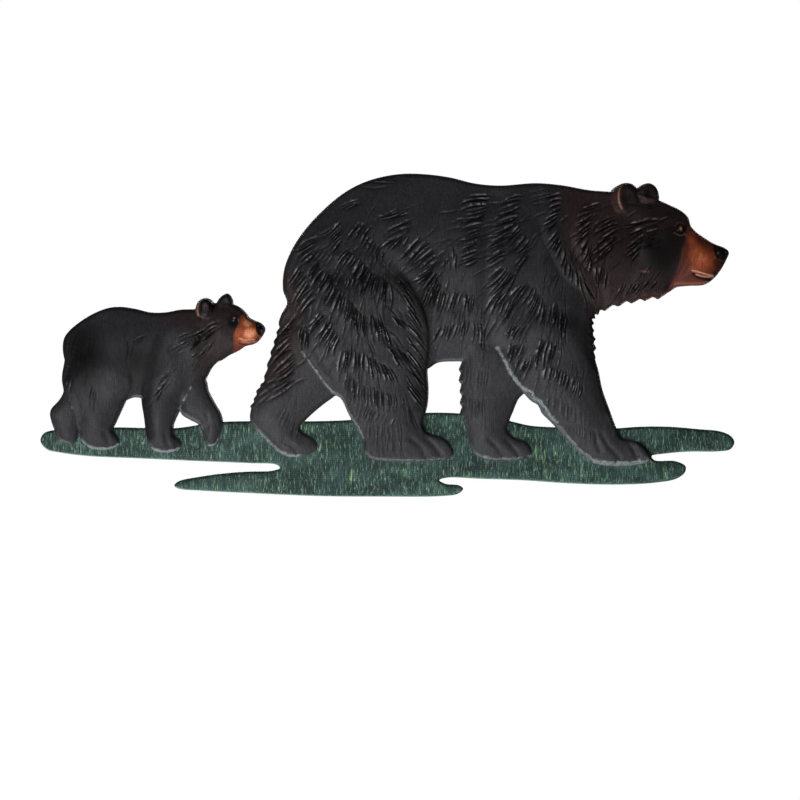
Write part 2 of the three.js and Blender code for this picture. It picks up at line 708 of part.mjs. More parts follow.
// A triangulation that takes one point at a time and keeps its triangles as round as it can. It
// starts from one triangle that is many times the sheet's size.
const FIRST_TRIANGLE = 9;
class Net {
  constructor(size) {
    const far = FIRST_TRIANGLE * size;
    this.points = [[-far, -far], [far, -far], [0, far]];
    this.faces = [this.face(0, 1, 2)];
  }

  face(a, b, c) {
    const [[ax, az], [bx, bz], [cx, cz]] = [this.points[a], this.points[b], this.points[c]];
    const [ux, uz, vx, vz] = [bx - ax, bz - az, cx - ax, cz - az];
    const twice = 2 * (ux * vz - uz * vx);
    const uu = ux * ux + uz * uz;
    const vv = vx * vx + vz * vz;
    const ox = (vz * uu - uz * vv) / twice;
    const oz = (ux * vv - vx * uu) / twice;
    return { corners: [a, b, c], x: ax + ox, z: az + oz, reach: ox * ox + oz * oz };
  }

  add(x, z) {
    const edges = new Map();
    const kept = [];
    for (const face of this.faces) {
      if ((x - face.x) ** 2 + (z - face.z) ** 2 >= face.reach) {
        kept.push(face);
        continue;
      }
      face.corners.forEach((a, k) => {
        const b = face.corners[(k + 1) % 3];
        if (!edges.delete(`${b},${a}`)) edges.set(`${a},${b}`, [a, b]);
      });
    }
    const index = this.points.push([x, z]) - 1;
    for (const [a, b] of edges.values()) kept.push(this.face(a, b, index));
    this.faces = kept;
  }
}

// A small fixed shift that keeps points off exact rows
const NUDGE = 0.02;
const GOLDEN_SHARE = 0.618034;
const nudge = (n) => NUDGE * (((n * GOLDEN_SHARE) % 1) - 0.5);

function sampleSheet() {
  const margin = 3 * TRACE_STEP;
  const boxes = figures.flatMap((f) =>
    f.parts.map(({ line }) => ({
      high: [f.place.x + line.box.max.x * f.unit, f.place.z + line.box.max.y * f.unit],
      low: [f.place.x + line.box.min.x * f.unit, f.place.z + line.box.min.y * f.unit],
    })),
  );
  boxes.push({ low: grassLine.box.min.toArray(), high: grassLine.box.max.toArray() });
  const x0 = Math.min(...boxes.map((b) => b.low[0])) - margin;
  const z0 = Math.min(...boxes.map((b) => b.low[1])) - margin;
  const width = Math.max(...boxes.map((b) => b.high[0])) + margin - x0;
  const height = Math.max(...boxes.map((b) => b.high[1])) + margin - z0;
  const columns = Math.ceil(width / TRACE_STEP) + 1;
  const rows = Math.ceil(height / TRACE_STEP) + 1;
  const values = new Float64Array(columns * rows);
  for (let j = 0; j < rows; j++) {
    for (let i = 0; i < columns; i++) {
      values[j * columns + i] = insideSheet(x0 + i * TRACE_STEP, z0 + j * TRACE_STEP);
    }
  }
  return { values, columns, rows, x0, z0, width, height };
}

// Halves each stretch of the rim that the triangles don't follow, until they follow all of it
function holdRim(net, rim, addPoint) {
  const held = new Set(
    net.faces.flatMap(({ corners: [a, b, c] }) => [[a, b], [b, c], [c, a]].map(String)),
  );
  const loose = rim.filter(([a, b]) => !held.has(`${a},${b}`) && !held.has(`${b},${a}`));
  if (!loose.length) return rim;
  const halves = loose.flatMap(([a, b]) => {
    const middle = net.points.length;
    const [[ax, az], [bx, bz]] = [net.points[a], net.points[b]];
    addPoint((ax + bx) / 2, (az + bz) / 2, 0);
    return [[a, middle], [middle, b]];
  });
  return holdRim(net, [...rim.filter((edge) => !loose.includes(edge)), ...halves], addPoint);
}

// Triangles that follow the pressed form: its outline, the foot of its turned edge, and then
// one point after another where the flat triangles miss the form the most
const CORNER_SHARES = [[1, 1, 1], [4, 1, 1], [1, 4, 1], [1, 1, 4]];
function fitNet() {
  const field = sampleSheet();
  const net = new Net(Math.max(field.width, field.height));
  const depths = [0, 0, 0];
  const addPoint = (x, z, inside) => {
    const n = net.points.length;
    net.add(x + nudge(n), z + nudge(n * 3));
    depths.push(frontDepth(x, z, inside));
  };
  const outline = traceLevel(0, field).map((loop) => thinLoop(loop, OUTLINE_TOLERANCE));
  const cuts = outline.map((loop) => new Line(loop, true));
  let rim = outline.flatMap((loop) => {
    const first = net.points.length;
    for (const [x, z] of loop) addPoint(x, z, 0);
    return loop.map((_, k) => [first + k, first + ((k + 1) % loop.length)]);
  });
  rim = holdRim(net, rim, addPoint);
  const ring = traceLevel(EDGE_WIDTH, field)
    .filter((loop) => loop.length * TRACE_STEP > 2 * EDGE_WIDTH)
    .map((loop) => thinLoop(loop, RING_TOLERANCE));
  for (const [x, z] of ring.flat()) addPoint(x, z, EDGE_WIDTH);
  const addInside = (x, z, depth) => {
    const inside = insideSheet(x, z);
    const crowded = ([px, pz]) => Math.hypot(px - x, pz - z) < CLOSEST_POINTS;
    if (inside > depth && !net.points.some(crowded)) addPoint(x, z, inside);
  };
  for (const [x, z] of figures.flatMap((figure) => figure.seams())) {
    addInside(x, z, EDGE_WIDTH + CLOSEST_POINTS);
  }
  for (let row = 0; row * SEED_ROW < field.height; row++) {
    for (let x = ((row % 2) * SEED_SPACING) / 2; x < field.width; x += SEED_SPACING) {
      addInside(field.x0 + x, field.z0 + row * SEED_ROW, EDGE_WIDTH + SEED_SPACING / 3);
    }
  }
  const miss = (face) => {
    const spots = face.corners.map((n) => net.points[n]);
    const ends = face.corners.map((n) => depths[n]);
    let worst = { miss: 0 };
    for (const shares of CORNER_SHARES) {
      const whole = shares[0] + shares[1] + shares[2];
      const mix = (values) => values.reduce((sum, v, k) => sum + (v * shares[k]) / whole, 0);
      const x = mix(spots.map((s) => s[0]));
      const z = mix(spots.map((s) => s[1]));
      const inside = insideSheet(x, z);
      if (inside < EDGE_WIDTH + CLOSEST_POINTS / 2) continue;
      const off = Math.abs(frontDepth(x, z, inside) - mix(ends));
      if (off > worst.miss) worst = { miss: off, x, z, inside };
    }
    return worst;
  };
  while (net.points.length < MOST_POINTS) {
    for (const face of net.faces) face.worst ??= face.corners[0] > 2 ? miss(face) : { miss: 0 };
    const next = net.faces
      .map((face) => face.worst)
      .filter((spot) => spot.miss > RELIEF_TOLERANCE)
      .sort((a, b) => b.miss - a.miss);
    const added = [];
    for (const spot of next) {
      if (added.length === POINTS_A_ROUND) break;
      const crowded = (p) => Math.hypot(p[0] - spot.x, p[1] - spot.z) < CLOSEST_POINTS;
      if (net.points.some(crowded)) {
        spot.miss = 0;
        continue;
      }
      addPoint(spot.x, spot.z, spot.inside);
      added.push(spot);
    }
    if (!added.length) break;
  }
  rim = holdRim(net, rim, addPoint);
  const kept = net.faces.filter(({ corners }) => {
    if (Math.min(...corners) < 3) return false;
    const [x, z] = [0, 1].map((k) => corners.reduce((s, n) => s + net.points[n][k], 0) / 3);
    return cuts.filter((cut) => cut.nearest(x, z).distance > 0).length % 2 === 1;
  });
  const { points } = net;
  return { points, depths, faces: kept.map((f) => f.corners), rim: new Set(rim.flat()) };
}

// How much longer a way straight through the sheet is than its thickness, at each point
function slopes({ points, depths, faces }) {
  const normals = points.map(() => new THREE.Vector3());
  const spot = (n) => new THREE.Vector3(points[n][0], -depths[n], points[n][1]);
  for (const [a, b, c] of faces) {
    const normal = spot(b).sub(spot(a)).cross(spot(c).sub(spot(a)));
    for (const n of [a, b, c]) normals[n].add(normal);
  }
  return normals.map((n) => Math.min(STEEPEST, n.length() / Math.max(1e-9, -n.y)));
}

// A closed solid between two depths over the same triangles
function solidBetween({ points, faces }, front, back) {
  const used = new Map();
  const number = (n) => {
    if (!used.has(n)) used.set(n, used.size);
    return used.get(n);
  };
  const edges = new Map();
  for (const face of faces) {
    face.forEach((a, k) => {
      const b = face[(k + 1) % 3];
      number(a);
      if (!edges.delete(`${b},${a}`)) edges.set(`${a},${b}`, [a, b]);
    });
  }
  const count = used.size;
  const position = new Float32Array(count * 6);
  for (const [n, k] of used) {
    position.set([points[n][0], -front[n], points[n][1]], k * 3);
    position.set([points[n][0], -back[n], points[n][1]], (count + k) * 3);
  }
  const index = [];
  for (const [a, b, c] of faces.map((face) => face.map(number))) {
    index.push(a, b, c, count + a, count + c, count + b);
  }
  for (const [a, b] of [...edges.values()].map((edge) => edge.map(number))) {
    index.push(b, a, count + a, b, count + a, count + b);
  }
  const geometry = new THREE.BufferGeometry();
  geometry.setAttribute("position", new THREE.BufferAttribute(position, 3));
  geometry.setIndex(index);
  return geometry;
}

const wasm = await Module();
wasm.setup();

function toManifold(geometry) {
  const bare = geometry.clone();
  bare.deleteAttribute("normal");
  bare.deleteAttribute("uv");
  const merged = mergeVertices(bare);
  return new wasm.Manifold(
    new wasm.Mesh({
      numProp: 3,
      vertProperties: merged.attributes.position.array,
      triVerts: new Uint32Array(merged.index.array),
    }),
  );
}

function toGeometry(solid) {
  const { vertProperties, triVerts } = solid.getMesh();
  const geometry = new THREE.BufferGeometry();
  geometry.setAttribute("position", new THREE.BufferAttribute(new Float32Array(vertProperties), 3));
  geometry.setIndex(new THREE.BufferAttribute(new Uint32Array(triVerts), 1));
  geometry.computeVertexNormals();
  return geometry;
}

// Where the sheet balances along its length
function balanceX({ points, depths, faces }) {
  const spot = (n) => new THREE.Vector3(points[n][0], -depths[n], points[n][1]);
  let area = 0;
  let moment = 0;
  for (const corners of faces) {
    const triangle = new THREE.Triangle(...corners.map(spot));
    area += triangle.getArea();
    moment += triangle.getArea() * triangle.getMidpoint(new THREE.Vector3()).x;
  }
  return moment / area;
}

// The bracket: its plate lies on the wall, and its two walls are cut to meet the sheet's back
function makeHanger(bearing, sheetAndFront) {
  const plate = new THREE.Shape([
    new THREE.Vector2(-HANGER_WIDTH / 2, -PLATE_BELOW),
    new THREE.Vector2(HANGER_WIDTH / 2, -PLATE_BELOW),
    new THREE.Vector2(HANGER_WIDTH / 2, PLATE_ABOVE),
    new THREE.Vector2(-HANGER_WIDTH / 2, PLATE_ABOVE),
  ]);
  const slotCentre = -SLOT_TOP - SLOT_RADIUS;
  const holeCentre = slotCentre - SLOT_LENGTH;
  const neck = Math.acos(SLOT_RADIUS / KEYHOLE_RADIUS);
  const keyhole = new THREE.Path();
  keyhole.moveTo(SLOT_RADIUS, slotCentre);
  keyhole.absarc(0, slotCentre, SLOT_RADIUS, 0, Math.PI, false);
  keyhole.absarc(0, holeCentre, KEYHOLE_RADIUS, Math.PI - neck, 2 * Math.PI + neck, false);
  keyhole.closePath();
  plate.holes.push(keyhole);
  const sheet = new THREE.ExtrudeGeometry(plate, {
    depth: HANGER_SHEET,
    bevelEnabled: false,
    curveSegments: 10,
  });
  sheet.rotateX(Math.PI / 2);
  const reach = GRASS_STANDOFF + 2 * MOTHER.relief;
  const height = PLATE_ABOVE + PLATE_BELOW;
  let solid = toManifold(sheet);
  for (const side of [-1, 1]) {
    const wall = new THREE.BoxGeometry(HANGER_SHEET, reach, height);
    const x = (side * (HANGER_WIDTH - HANGER_SHEET)) / 2;
    wall.translate(x, -reach / 2, (PLATE_ABOVE - PLATE_BELOW) / 2);
    solid = solid.add(toManifold(wall));
  }
  return toGeometry(solid.translate([bearing.x, 0, bearing.z]).subtract(sheetAndFront));
}

// The sheet's material and the bracket's
const paintedSteel = new THREE.MeshStandardMaterial({
  color: 0x1c1d20,
  roughness: 0.42,
  metalness: 0.55,
});
const zincSteel = new THREE.MeshStandardMaterial({
  color: 0x8f9396,
  roughness: 0.4,
  metalness: 1,
});

const net = fitNet();
const slope = slopes(net);
const back = net.depths.map((d, n) => (net.rim.has(n) ? 0 : d - SHEET_THICKNESS * slope[n]));
const behind = back.map((d) => d - WELD_GAP);
const FRONT_CUT = 4 * MOTHER.relief; // everything of the bracket this far in front is cut off
const farFront = net.depths.map((d) => d + FRONT_CUT);

const bearingX = balanceX(net);
const rimPoints = [...net.rim].map((n) => net.points[n]);
const overBearing = rimPoints.filter(([x]) => Math.abs(x - bearingX) < LONGEST_EDGE);
const topOfBack = Math.max(...overBearing.map(([, z]) => z));
const bearing = { x: bearingX, z: topOfBack - HANGER_DROP };

const panel = new THREE.Mesh(solidBetween(net, net.depths, back), paintedSteel);
panel.name = "bear_and_cub_panel";
panel.geometry.computeVertexNormals();
const hanger = new THREE.Mesh(
  makeHanger(bearing, toManifold(solidBetween(net, farFront, behind))),
  zincSteel,
);
hanger.name = "wall_hanger";

// The origin is the bearing point on the bracket's wall face
const sculpture = new THREE.Group();
sculpture.add(panel, hanger);
for (const mesh of [panel, hanger]) mesh.position.set(-bearing.x, 0, -bearing.z);

export default sculpture;
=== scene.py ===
"""The look of a wall sculpture: a mother bear and her cub on a strip of grass, pressed from one
printed steel sheet. Metres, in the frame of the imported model: X runs along the sculpture, Z is up
and the picture faces -Y."""

import math

import bpy
import numpy as np
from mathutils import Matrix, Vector
from mathutils.geometry import delaunay_2d_cdt
from mathutils.kdtree import KDTree


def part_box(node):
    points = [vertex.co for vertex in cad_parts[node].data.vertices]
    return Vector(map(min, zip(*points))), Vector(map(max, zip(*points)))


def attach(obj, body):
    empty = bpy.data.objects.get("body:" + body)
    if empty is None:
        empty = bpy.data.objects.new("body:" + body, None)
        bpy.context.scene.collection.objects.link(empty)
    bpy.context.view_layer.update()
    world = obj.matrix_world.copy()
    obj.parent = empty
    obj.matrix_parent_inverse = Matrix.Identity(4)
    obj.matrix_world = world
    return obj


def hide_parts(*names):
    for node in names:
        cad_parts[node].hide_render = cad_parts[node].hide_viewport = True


bl_info = {
    "name": "Pressed bear sculpture",
    "version": (1, 0, 0),
    "blender": (4, 5, 0),
    "location": "3D View > Sidebar > Sculpture",
    "description": "Builds the pressed and printed bear sheet, its bracket and a plain studio",
    "category": "Add Mesh",
}

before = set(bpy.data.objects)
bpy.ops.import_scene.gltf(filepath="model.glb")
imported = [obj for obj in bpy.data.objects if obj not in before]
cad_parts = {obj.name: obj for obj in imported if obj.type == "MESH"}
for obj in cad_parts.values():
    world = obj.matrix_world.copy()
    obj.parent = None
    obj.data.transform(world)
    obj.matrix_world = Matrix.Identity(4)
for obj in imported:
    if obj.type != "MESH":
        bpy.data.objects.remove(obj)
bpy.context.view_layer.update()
SHEET_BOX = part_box("bear_and_cub_panel")


def spot(tint, x, z, wide, tall, share=1):
    """A round spot of one tint, which fades over its radii. Tints hold print as well as painted shade and
    highlights.
    """
    return tint, lambda squares: share * np.exp(-(((squares - [x, z]) / [wide, tall]) ** 2).sum(1))


def stripe(tint, width, line, share=1):
    """A line of one tint, with soft sides."""
    return tint, lambda squares: share * np.exp(-((Line(line, False).nearest(squares)[0] / width) ** 4))


def patch(tint, soft, outline, share=1):
    """An area of one tint, with a soft border so wide."""
    return tint, lambda squares: share * smooth(0.5 + Line(outline, True).depth(squares, soft) / soft)


# Each figure is drawn on squared paper of so many squares to its length. Points are [along, up]
# in its own squares, and crowns, creases and bumps are in squares too. A level is a share of the
# figure's relief. Parts are listed from the farthest to the nearest, and a part with a lift
# stands at least so much above what it lies on, except near the point where it fades into it.
# The part of the outline that head and muzzle share
MOTHER_SNOUT = [
    [450, 232], [465, 222.5], [476, 218], [480, 214], [477.2, 206], [471, 195], [463, 186], [455, 181.2],
    [440, 180.2], [428, 179],
]
MOTHER_DRAWING = {
    "squares": 479, "length": 0.42, "place": [0.1843, 0.0272],
    "parts": {
        "far_ear": {
            "outline": [
                [385, 273], [391, 280.5], [400, 283.2], [406, 280], [409.5, 273], [409, 264], [394, 260],
            ],
            "crown": 8, "edge": 0.45, "levels": [[399, 272, 0.55]],
        },
        "far_hind_leg": {
            "outline": [
                [40, 154], [30, 139], [26.5, 128], [22.5, 115], [18, 99], [14, 84], [8.5, 76], [5, 66], [1, 57],
                [0, 46], [4, 39.5], [14, 28.5], [26, 16.5], [36, 10], [50, 9.3], [61, 12], [68, 19], [63.5, 28],
                [53, 34], [50.5, 39], [54.5, 44.3], [64, 53.5], [75, 62.5], [84, 69], [98, 81], [90, 116],
                [62, 144],
            ],
            "fringe": {"from": 1, "to": 8, "tufts": 9, "depth": 2}, "crown": 20, "edge": 0.25,
            "levels": [[60, 120, 0.6], [35, 75, 0.5], [35, 25, 0.35]],
        },
        "far_foreleg": {
            "outline": [
                [212, 128], [212, 104], [211, 90], [212, 76], [212.3, 62], [212.5, 48], [217, 36], [220.5, 20],
                [227, 10.5], [239, 6], [260, 5], [275, 6.8], [282.5, 13.5], [277, 24], [264, 29], [258, 36],
                [260, 45], [264, 55], [269, 66.5], [274.5, 72.2], [286, 82], [278, 116], [245, 134],
            ],
            "fringe": {"from": 1, "to": 5, "tufts": 5, "depth": 2.5}, "crown": 20, "edge": 0.25,
            "levels": [[240, 105, 0.6], [240, 60, 0.5], [250, 18, 0.38]],
        },
        "body": {
            "outline": [
                [50, 126], [29, 140], [31, 151], [37, 163], [33, 176], [34, 196], [41.5, 216], [54.5, 236],
                [73, 256], [92, 272], [110, 282.3], [130, 289], [152, 292.5], [175, 292.2], [200, 289],
                [225, 283], [250, 280.8], [286, 283.2], [312, 281.2], [340, 276.2], [365, 274], [390, 268],
                [410, 244], [418, 211], [420, 186], [415, 172.5], [395, 168], [372, 163.5], [350, 155.5],
                [343, 148], [342, 136], [344, 121], [342, 106], [310, 88], [275, 88], [247, 100], [228, 103.5],
                [205, 104.4], [188, 103], [178, 97], [145, 88], [95, 98],
            ],
            "fringe": {"from": 25, "to": 32, "tufts": 12, "depth": 3.4}, "crown": 52, "edge": 0.2,
            "levels": [
                [80, 200, 0.92], [170, 200, 0.86], [205, 130, 0.8], [285, 190, 0.95], [350, 225, 0.74],
                [390, 215, 0.66],
            ],
        },
        "near_hind_leg": {
            "outline": [
                [112, 214], [78, 211], [53, 198], [41, 176], [39, 151], [43, 133], [50, 116], [65, 95],
                [82, 73], [91, 67], [98, 53], [106, 37.5], [113.5, 25], [114, 15], [121, 7.5], [140, 4.7],
                [170, 4.5], [195, 6], [204, 11.5], [202, 20], [193, 28.5], [178, 33.5], [173.5, 41], [178, 61],
                [179, 76], [178, 97], [180, 120], [178.5, 142], [169, 169], [154, 190], [138, 204],
            ],
            "fade": {"x": 70, "z": 205, "reach": 85}, "crown": 34, "edge": 0.3, "lift": 3,
            "levels": [[100, 160, 1.08], [135, 110, 1], [138, 60, 0.8], [140, 25, 0.6], [185, 16, 0.45]],
        },
        "near_foreleg": {
            "outline": [
                [250, 148], [247, 118], [254, 102], [265, 84], [274.5, 72.2], [282, 64.5], [288, 61],
                [292.5, 52.5], [300, 45], [310, 34.5], [320, 23], [332, 11.5], [344, 3], [362, -0.2], [385, 1],
                [398, 3.5], [400.5, 9.5], [393, 20.5], [383, 26], [372, 28.5], [367.5, 37], [360, 57],
                [353, 77], [349.5, 94], [345, 111], [344.5, 126], [340, 148], [315, 166], [275, 168],
            ],
            "fade": {"x": 300, "z": 168, "reach": 66}, "crown": 30, "edge": 0.3, "lift": 2.6,
            "levels": [[300, 140, 1.02], [305, 90, 0.9], [325, 50, 0.72], [350, 18, 0.55], [385, 12, 0.42]],
        },
        "head": {
            "outline": [
                [362, 267], [382, 272.5], [407, 267], [420, 261.5], [432, 255.5], [439, 249], [442, 240],
                *MOTHER_SNOUT, [418, 173], [405, 171.5], [390, 170], [372, 167], [376, 180], [378, 193],
                [371, 204], [367, 215], [370, 230], [367, 250],
            ],
            "fringe": {"from": 17, "to": 20, "tufts": 5, "depth": 2.6},
            "fade": {"x": 350, "z": 215, "reach": 45}, "crown": 30, "edge": 0.25, "lift": 2.6,
            "levels": [[388, 222, 1.12], [412, 228, 1], [440, 222, 0.82], [462, 206, 0.7]],
        },
        "muzzle": {
            "outline": [
                [437, 235.5], [443, 236.5], *MOTHER_SNOUT, [421, 176.5], [421.5, 185], [425, 196], [429, 207],
                [433, 223],
            ],
            "crown": 17, "edge": 0.3, "lift": 0.8, "levels": [[432, 205, 1], [450, 207, 0.98], [470, 208, 0.8]],
        },
        "near_ear": {
            "outline": [
                [361, 263], [361.5, 275], [368, 280.5], [376, 283.4], [383.5, 282], [388.5, 277], [390.5, 269],
                [386, 260], [377, 253], [367, 252.5],
            ],
            "crown": 9, "edge": 0.45, "lift": 3, "levels": [[376, 268, 0.95]],
        },
    },
    # Collars of long neck fur, as rise, width and line: what lies towards the head stands higher
    "collars": [
        (3.6, 13, [[286, 290], [289, 256], [290, 232], [299, 210], [314, 185], [334, 168.5], [352, 148]]),
        (3.6, 12, [
            [347, 284], [338, 265], [323, 252], [319, 228], [327, 205], [340, 191], [350, 175], [356, 150],
        ]),
    ],
    # Rows of long locks on the thigh: each hangs over the one below
    "lock_rise": 2.4, "lock_length": 26,
    "lock_rows": [
        [[81, 204], [93, 184], [116, 169], [142, 165], [165, 170]],
        [[72, 169], [88, 144], [114, 128], [144, 125], [171, 133]],
        [[61, 130], [80, 106], [107, 91], [142, 87], [175, 95]],
        [[88, 78], [106, 62], [138, 53], [174, 57]],
    ],
    # Creases, as depth, width and line
    "creases": [
        (2.6, 8, [[246, 268], [239, 238], [237, 204], [236, 166], [240, 134]]),
        (2, 2.2, [[441, 191], [448, 187.5], [456, 185.8], [462, 187.5]]),
        (2, 2.4, [[344, 34], [347, 24], [350, 16]]),
        (2, 2.4, [[351, 33], [357, 22], [369, 9]]),
        (1.8, 2.2, [[380, 22], [386, 12], [391, 5]]),
        (2, 2.4, [[160, 28], [170, 20], [176, 9]]),
        (2, 2.4, [[176, 28], [185, 19], [192, 9]]),
        (1.8, 2.2, [[240, 26], [248, 18], [254, 9]]),
        (1.8, 2.2, [[256, 26], [264, 17], [270, 9]]),
        (1.6, 2, [[34, 24], [42, 20], [48, 13]]),
    ],
    # Bumps and hollows, as middle, radii and height
    "bumps": [
        [430, 237, 9, 7, -2], [430, 237, 3.8, 3.4, 3], [422, 247, 10, 4.5, 1.4], [472.5, 212.5, 5.5, 5, 1.8],
        [475, 213, 2.4, 1.6, -1.6], [376, 267, 5.5, 10, -5], [399, 272, 5, 7, -3], [305, 205, 34, 42, 2.4],
        [85, 235, 34, 26, 1.6],
    ],
}

CUB_SNOUT = [
    [197, 139.5], [200, 135.2], [206, 132], [211.5, 129.6], [215.2, 126], [216, 122.8], [213.5, 117],
    [208, 110.5], [203, 108], [196, 106.4],
]
CUB_DRAWING = {
    "squares": 216, "length": 0.19, "place": [0.0079, 0.0386],
    "fur_scale": 0.75,
    "parts": {
        "far_ear": {
            "outline": [
                [167, 148], [170, 154.5], [178, 159.2], [182.5, 155], [184, 148], [179, 143], [170, 143],
            ],
            "crown": 6, "edge": 0.45, "levels": [[176, 150, 0.6]],
        },
        "far_hind_leg": {
            "outline": [
                [19, 77], [13.5, 69], [14, 61], [10, 53], [2, 44], [0.5, 39], [2, 31], [6, 20.5], [11, 12],
                [20, 8.3], [27, 10.5], [29.5, 17], [33, 33], [31, 55],
            ],
            "crown": 11, "edge": 0.3, "levels": [[20, 60, 0.6], [15, 18, 0.5]],
        },
        "far_foreleg": {
            "outline": [
                [151, 83], [157.7, 71], [159.5, 62.5], [165.5, 50.5], [172, 39], [173.6, 32], [173, 24],
                [170, 15], [165.5, 8], [159.5, 6.2], [155.5, 11.5], [152.5, 22], [149, 28], [141, 32.5],
                [132, 38.5], [129, 53], [135, 71],
            ],
            "crown": 11, "edge": 0.3, "levels": [[148, 60, 0.7], [163, 15, 0.55]],
        },
        "body": {
            "outline": [
                [17, 87], [13.3, 104], [15, 115], [21, 123], [33, 132.5], [46, 140], [59, 144.7], [71, 145.8],
                [86, 143.8], [101, 140.3], [116, 140.3], [131, 143], [147, 143.8], [165, 149], [187, 146],
                [197, 128], [189, 106], [173, 94.2], [164, 86.5], [158, 76], [151, 63], [135, 59], [116, 51],
                [94, 54], [85, 55.2], [75, 52], [51, 51], [31, 61],
            ],
            "crown": 30, "edge": 0.22, "levels": [[50, 100, 0.95], [100, 95, 0.85], [150, 110, 0.95]],
        },
        "near_hind_leg": {
            "outline": [
                [39, 113], [19, 101], [13.8, 85], [12.5, 72], [15, 62], [21, 53], [26, 41], [29.5, 23],
                [32.5, 13], [39, 6], [48, 3.2], [59, 3.5], [67, 6.5], [71, 11], [69, 16.5], [64, 23], [67, 30],
                [72, 41], [77, 52], [84, 68], [77, 95], [59, 109],
            ],
            "fade": {"x": 42, "z": 108, "reach": 42}, "crown": 17, "edge": 0.32, "lift": 2,
            "levels": [[50, 82, 1.12], [50, 35, 0.85], [50, 10, 0.6]],
        },
        "near_foreleg": {
            "outline": [
                [109, 115], [100, 97], [96, 81], [92, 63], [92, 51], [94.5, 35], [96.5, 20], [100, 8], [106, 2],
                [117, 0.3], [127, 2], [132.5, 7.5], [130.5, 13.5], [125, 18.5], [124.5, 27], [129, 38.5],
                [135, 50], [140, 61], [147, 81], [141, 103], [125, 115],
            ],
            "fade": {"x": 124, "z": 112, "reach": 42}, "crown": 17, "edge": 0.32, "lift": 1.8,
            "levels": [[120, 88, 1.15], [112, 40, 0.88], [112, 10, 0.62]],
        },
        "head": {
            "outline": [
                [143, 131], [147, 144], [165, 149.5], [184, 148.3], [192, 144.3], *CUB_SNOUT, [190, 102.3],
                [180, 97.4], [169, 91.5], [155, 101], [146, 115],
            ],
            "fade": {"x": 148, "z": 112, "reach": 34}, "crown": 19, "edge": 0.28, "lift": 1.6,
            "levels": [[168, 124, 1.2], [192, 122, 1.05], [210, 120, 0.9]],
        },
        "muzzle": {
            "outline": [*CUB_SNOUT, [191, 104], [186.5, 109], [185.5, 117], [189, 129]],
            "crown": 10, "edge": 0.32, "lift": 0.6, "levels": [[200, 120, 1.15]],
        },
        "near_ear": {
            "outline": [
                [146, 144], [149, 151.5], [156, 154.7], [163, 152], [166, 145], [164.5, 137], [159, 132],
                [151, 133.5], [147, 138],
            ],
            "crown": 6, "edge": 0.45, "lift": 2.4, "levels": [[155, 143, 1.2]],
        },
    },
    "creases": [
        (1.4, 5, [[152, 124], [150, 112], [155, 100]]),
        (1.2, 1.8, [[192, 111.5], [198, 109.8], [205, 110], [210, 113]]),
        (1.3, 2, [[116, 20], [118, 12], [120, 4]]),
        (1.3, 2, [[124, 18], [127, 11], [129, 5]]),
        (1.3, 2, [[56, 20], [59, 13], [60, 6]]),
        (1.2, 2, [[158, 38], [159.5, 31], [157, 23]]),
    ],
    "bumps": [
        [185, 133.5, 7, 6, -1.2], [185, 133.5, 3.2, 3, 1.8], [212.5, 123.5, 4, 4.2, 1.2],
        [155.5, 143, 4, 7.5, -3.2], [176, 150, 3.5, 5, -1.8],
    ],
}

# The grass strip's outline, in squares of its own drawing
GRASS_SQUARES = 695
GRASS_OUTLINE = [
    [0, 56], [3, 63], [10, 66], [35, 67], [74, 69.3], [104.5, 68.8], [136, 68.7], [160, 72], [182.6, 74.8],
    [210, 75.6], [264, 75.4], [310, 76.8], [350, 81], [388, 84], [421, 83.2], [450, 79], [470, 75.7],
    [490, 71.2], [515, 69.5], [550, 68.7], [577, 68.5], [600, 70], [630, 70], [660, 67.5], [680, 65.5],
    [691, 61], [695, 54.5], [691, 47.5], [678, 45.2], [650, 45], [625, 43], [612, 40.5], [615, 36.5],
    [636, 35.5], [646, 30.5], [645.5, 24.5], [637, 18], [615, 13.8], [575, 12], [530, 13.2], [480, 16.5],
    [440, 17.8], [408, 19], [399.3, 16.6], [406, 12.8], [419, 11.4], [423.5, 8], [418, 2.8], [400, 0.4],
    [340, 0], [280, 0.5], [220, 3], [160, 6], [138, 8], [134, 11], [138, 15.2], [160, 20], [185, 23.4],
    [210, 25.2], [231, 25.8], [240, 28.7], [236, 32], [210, 33.5], [160, 35.5], [100, 38.2], [45, 40.8],
    [20, 44], [6, 47.5],
]

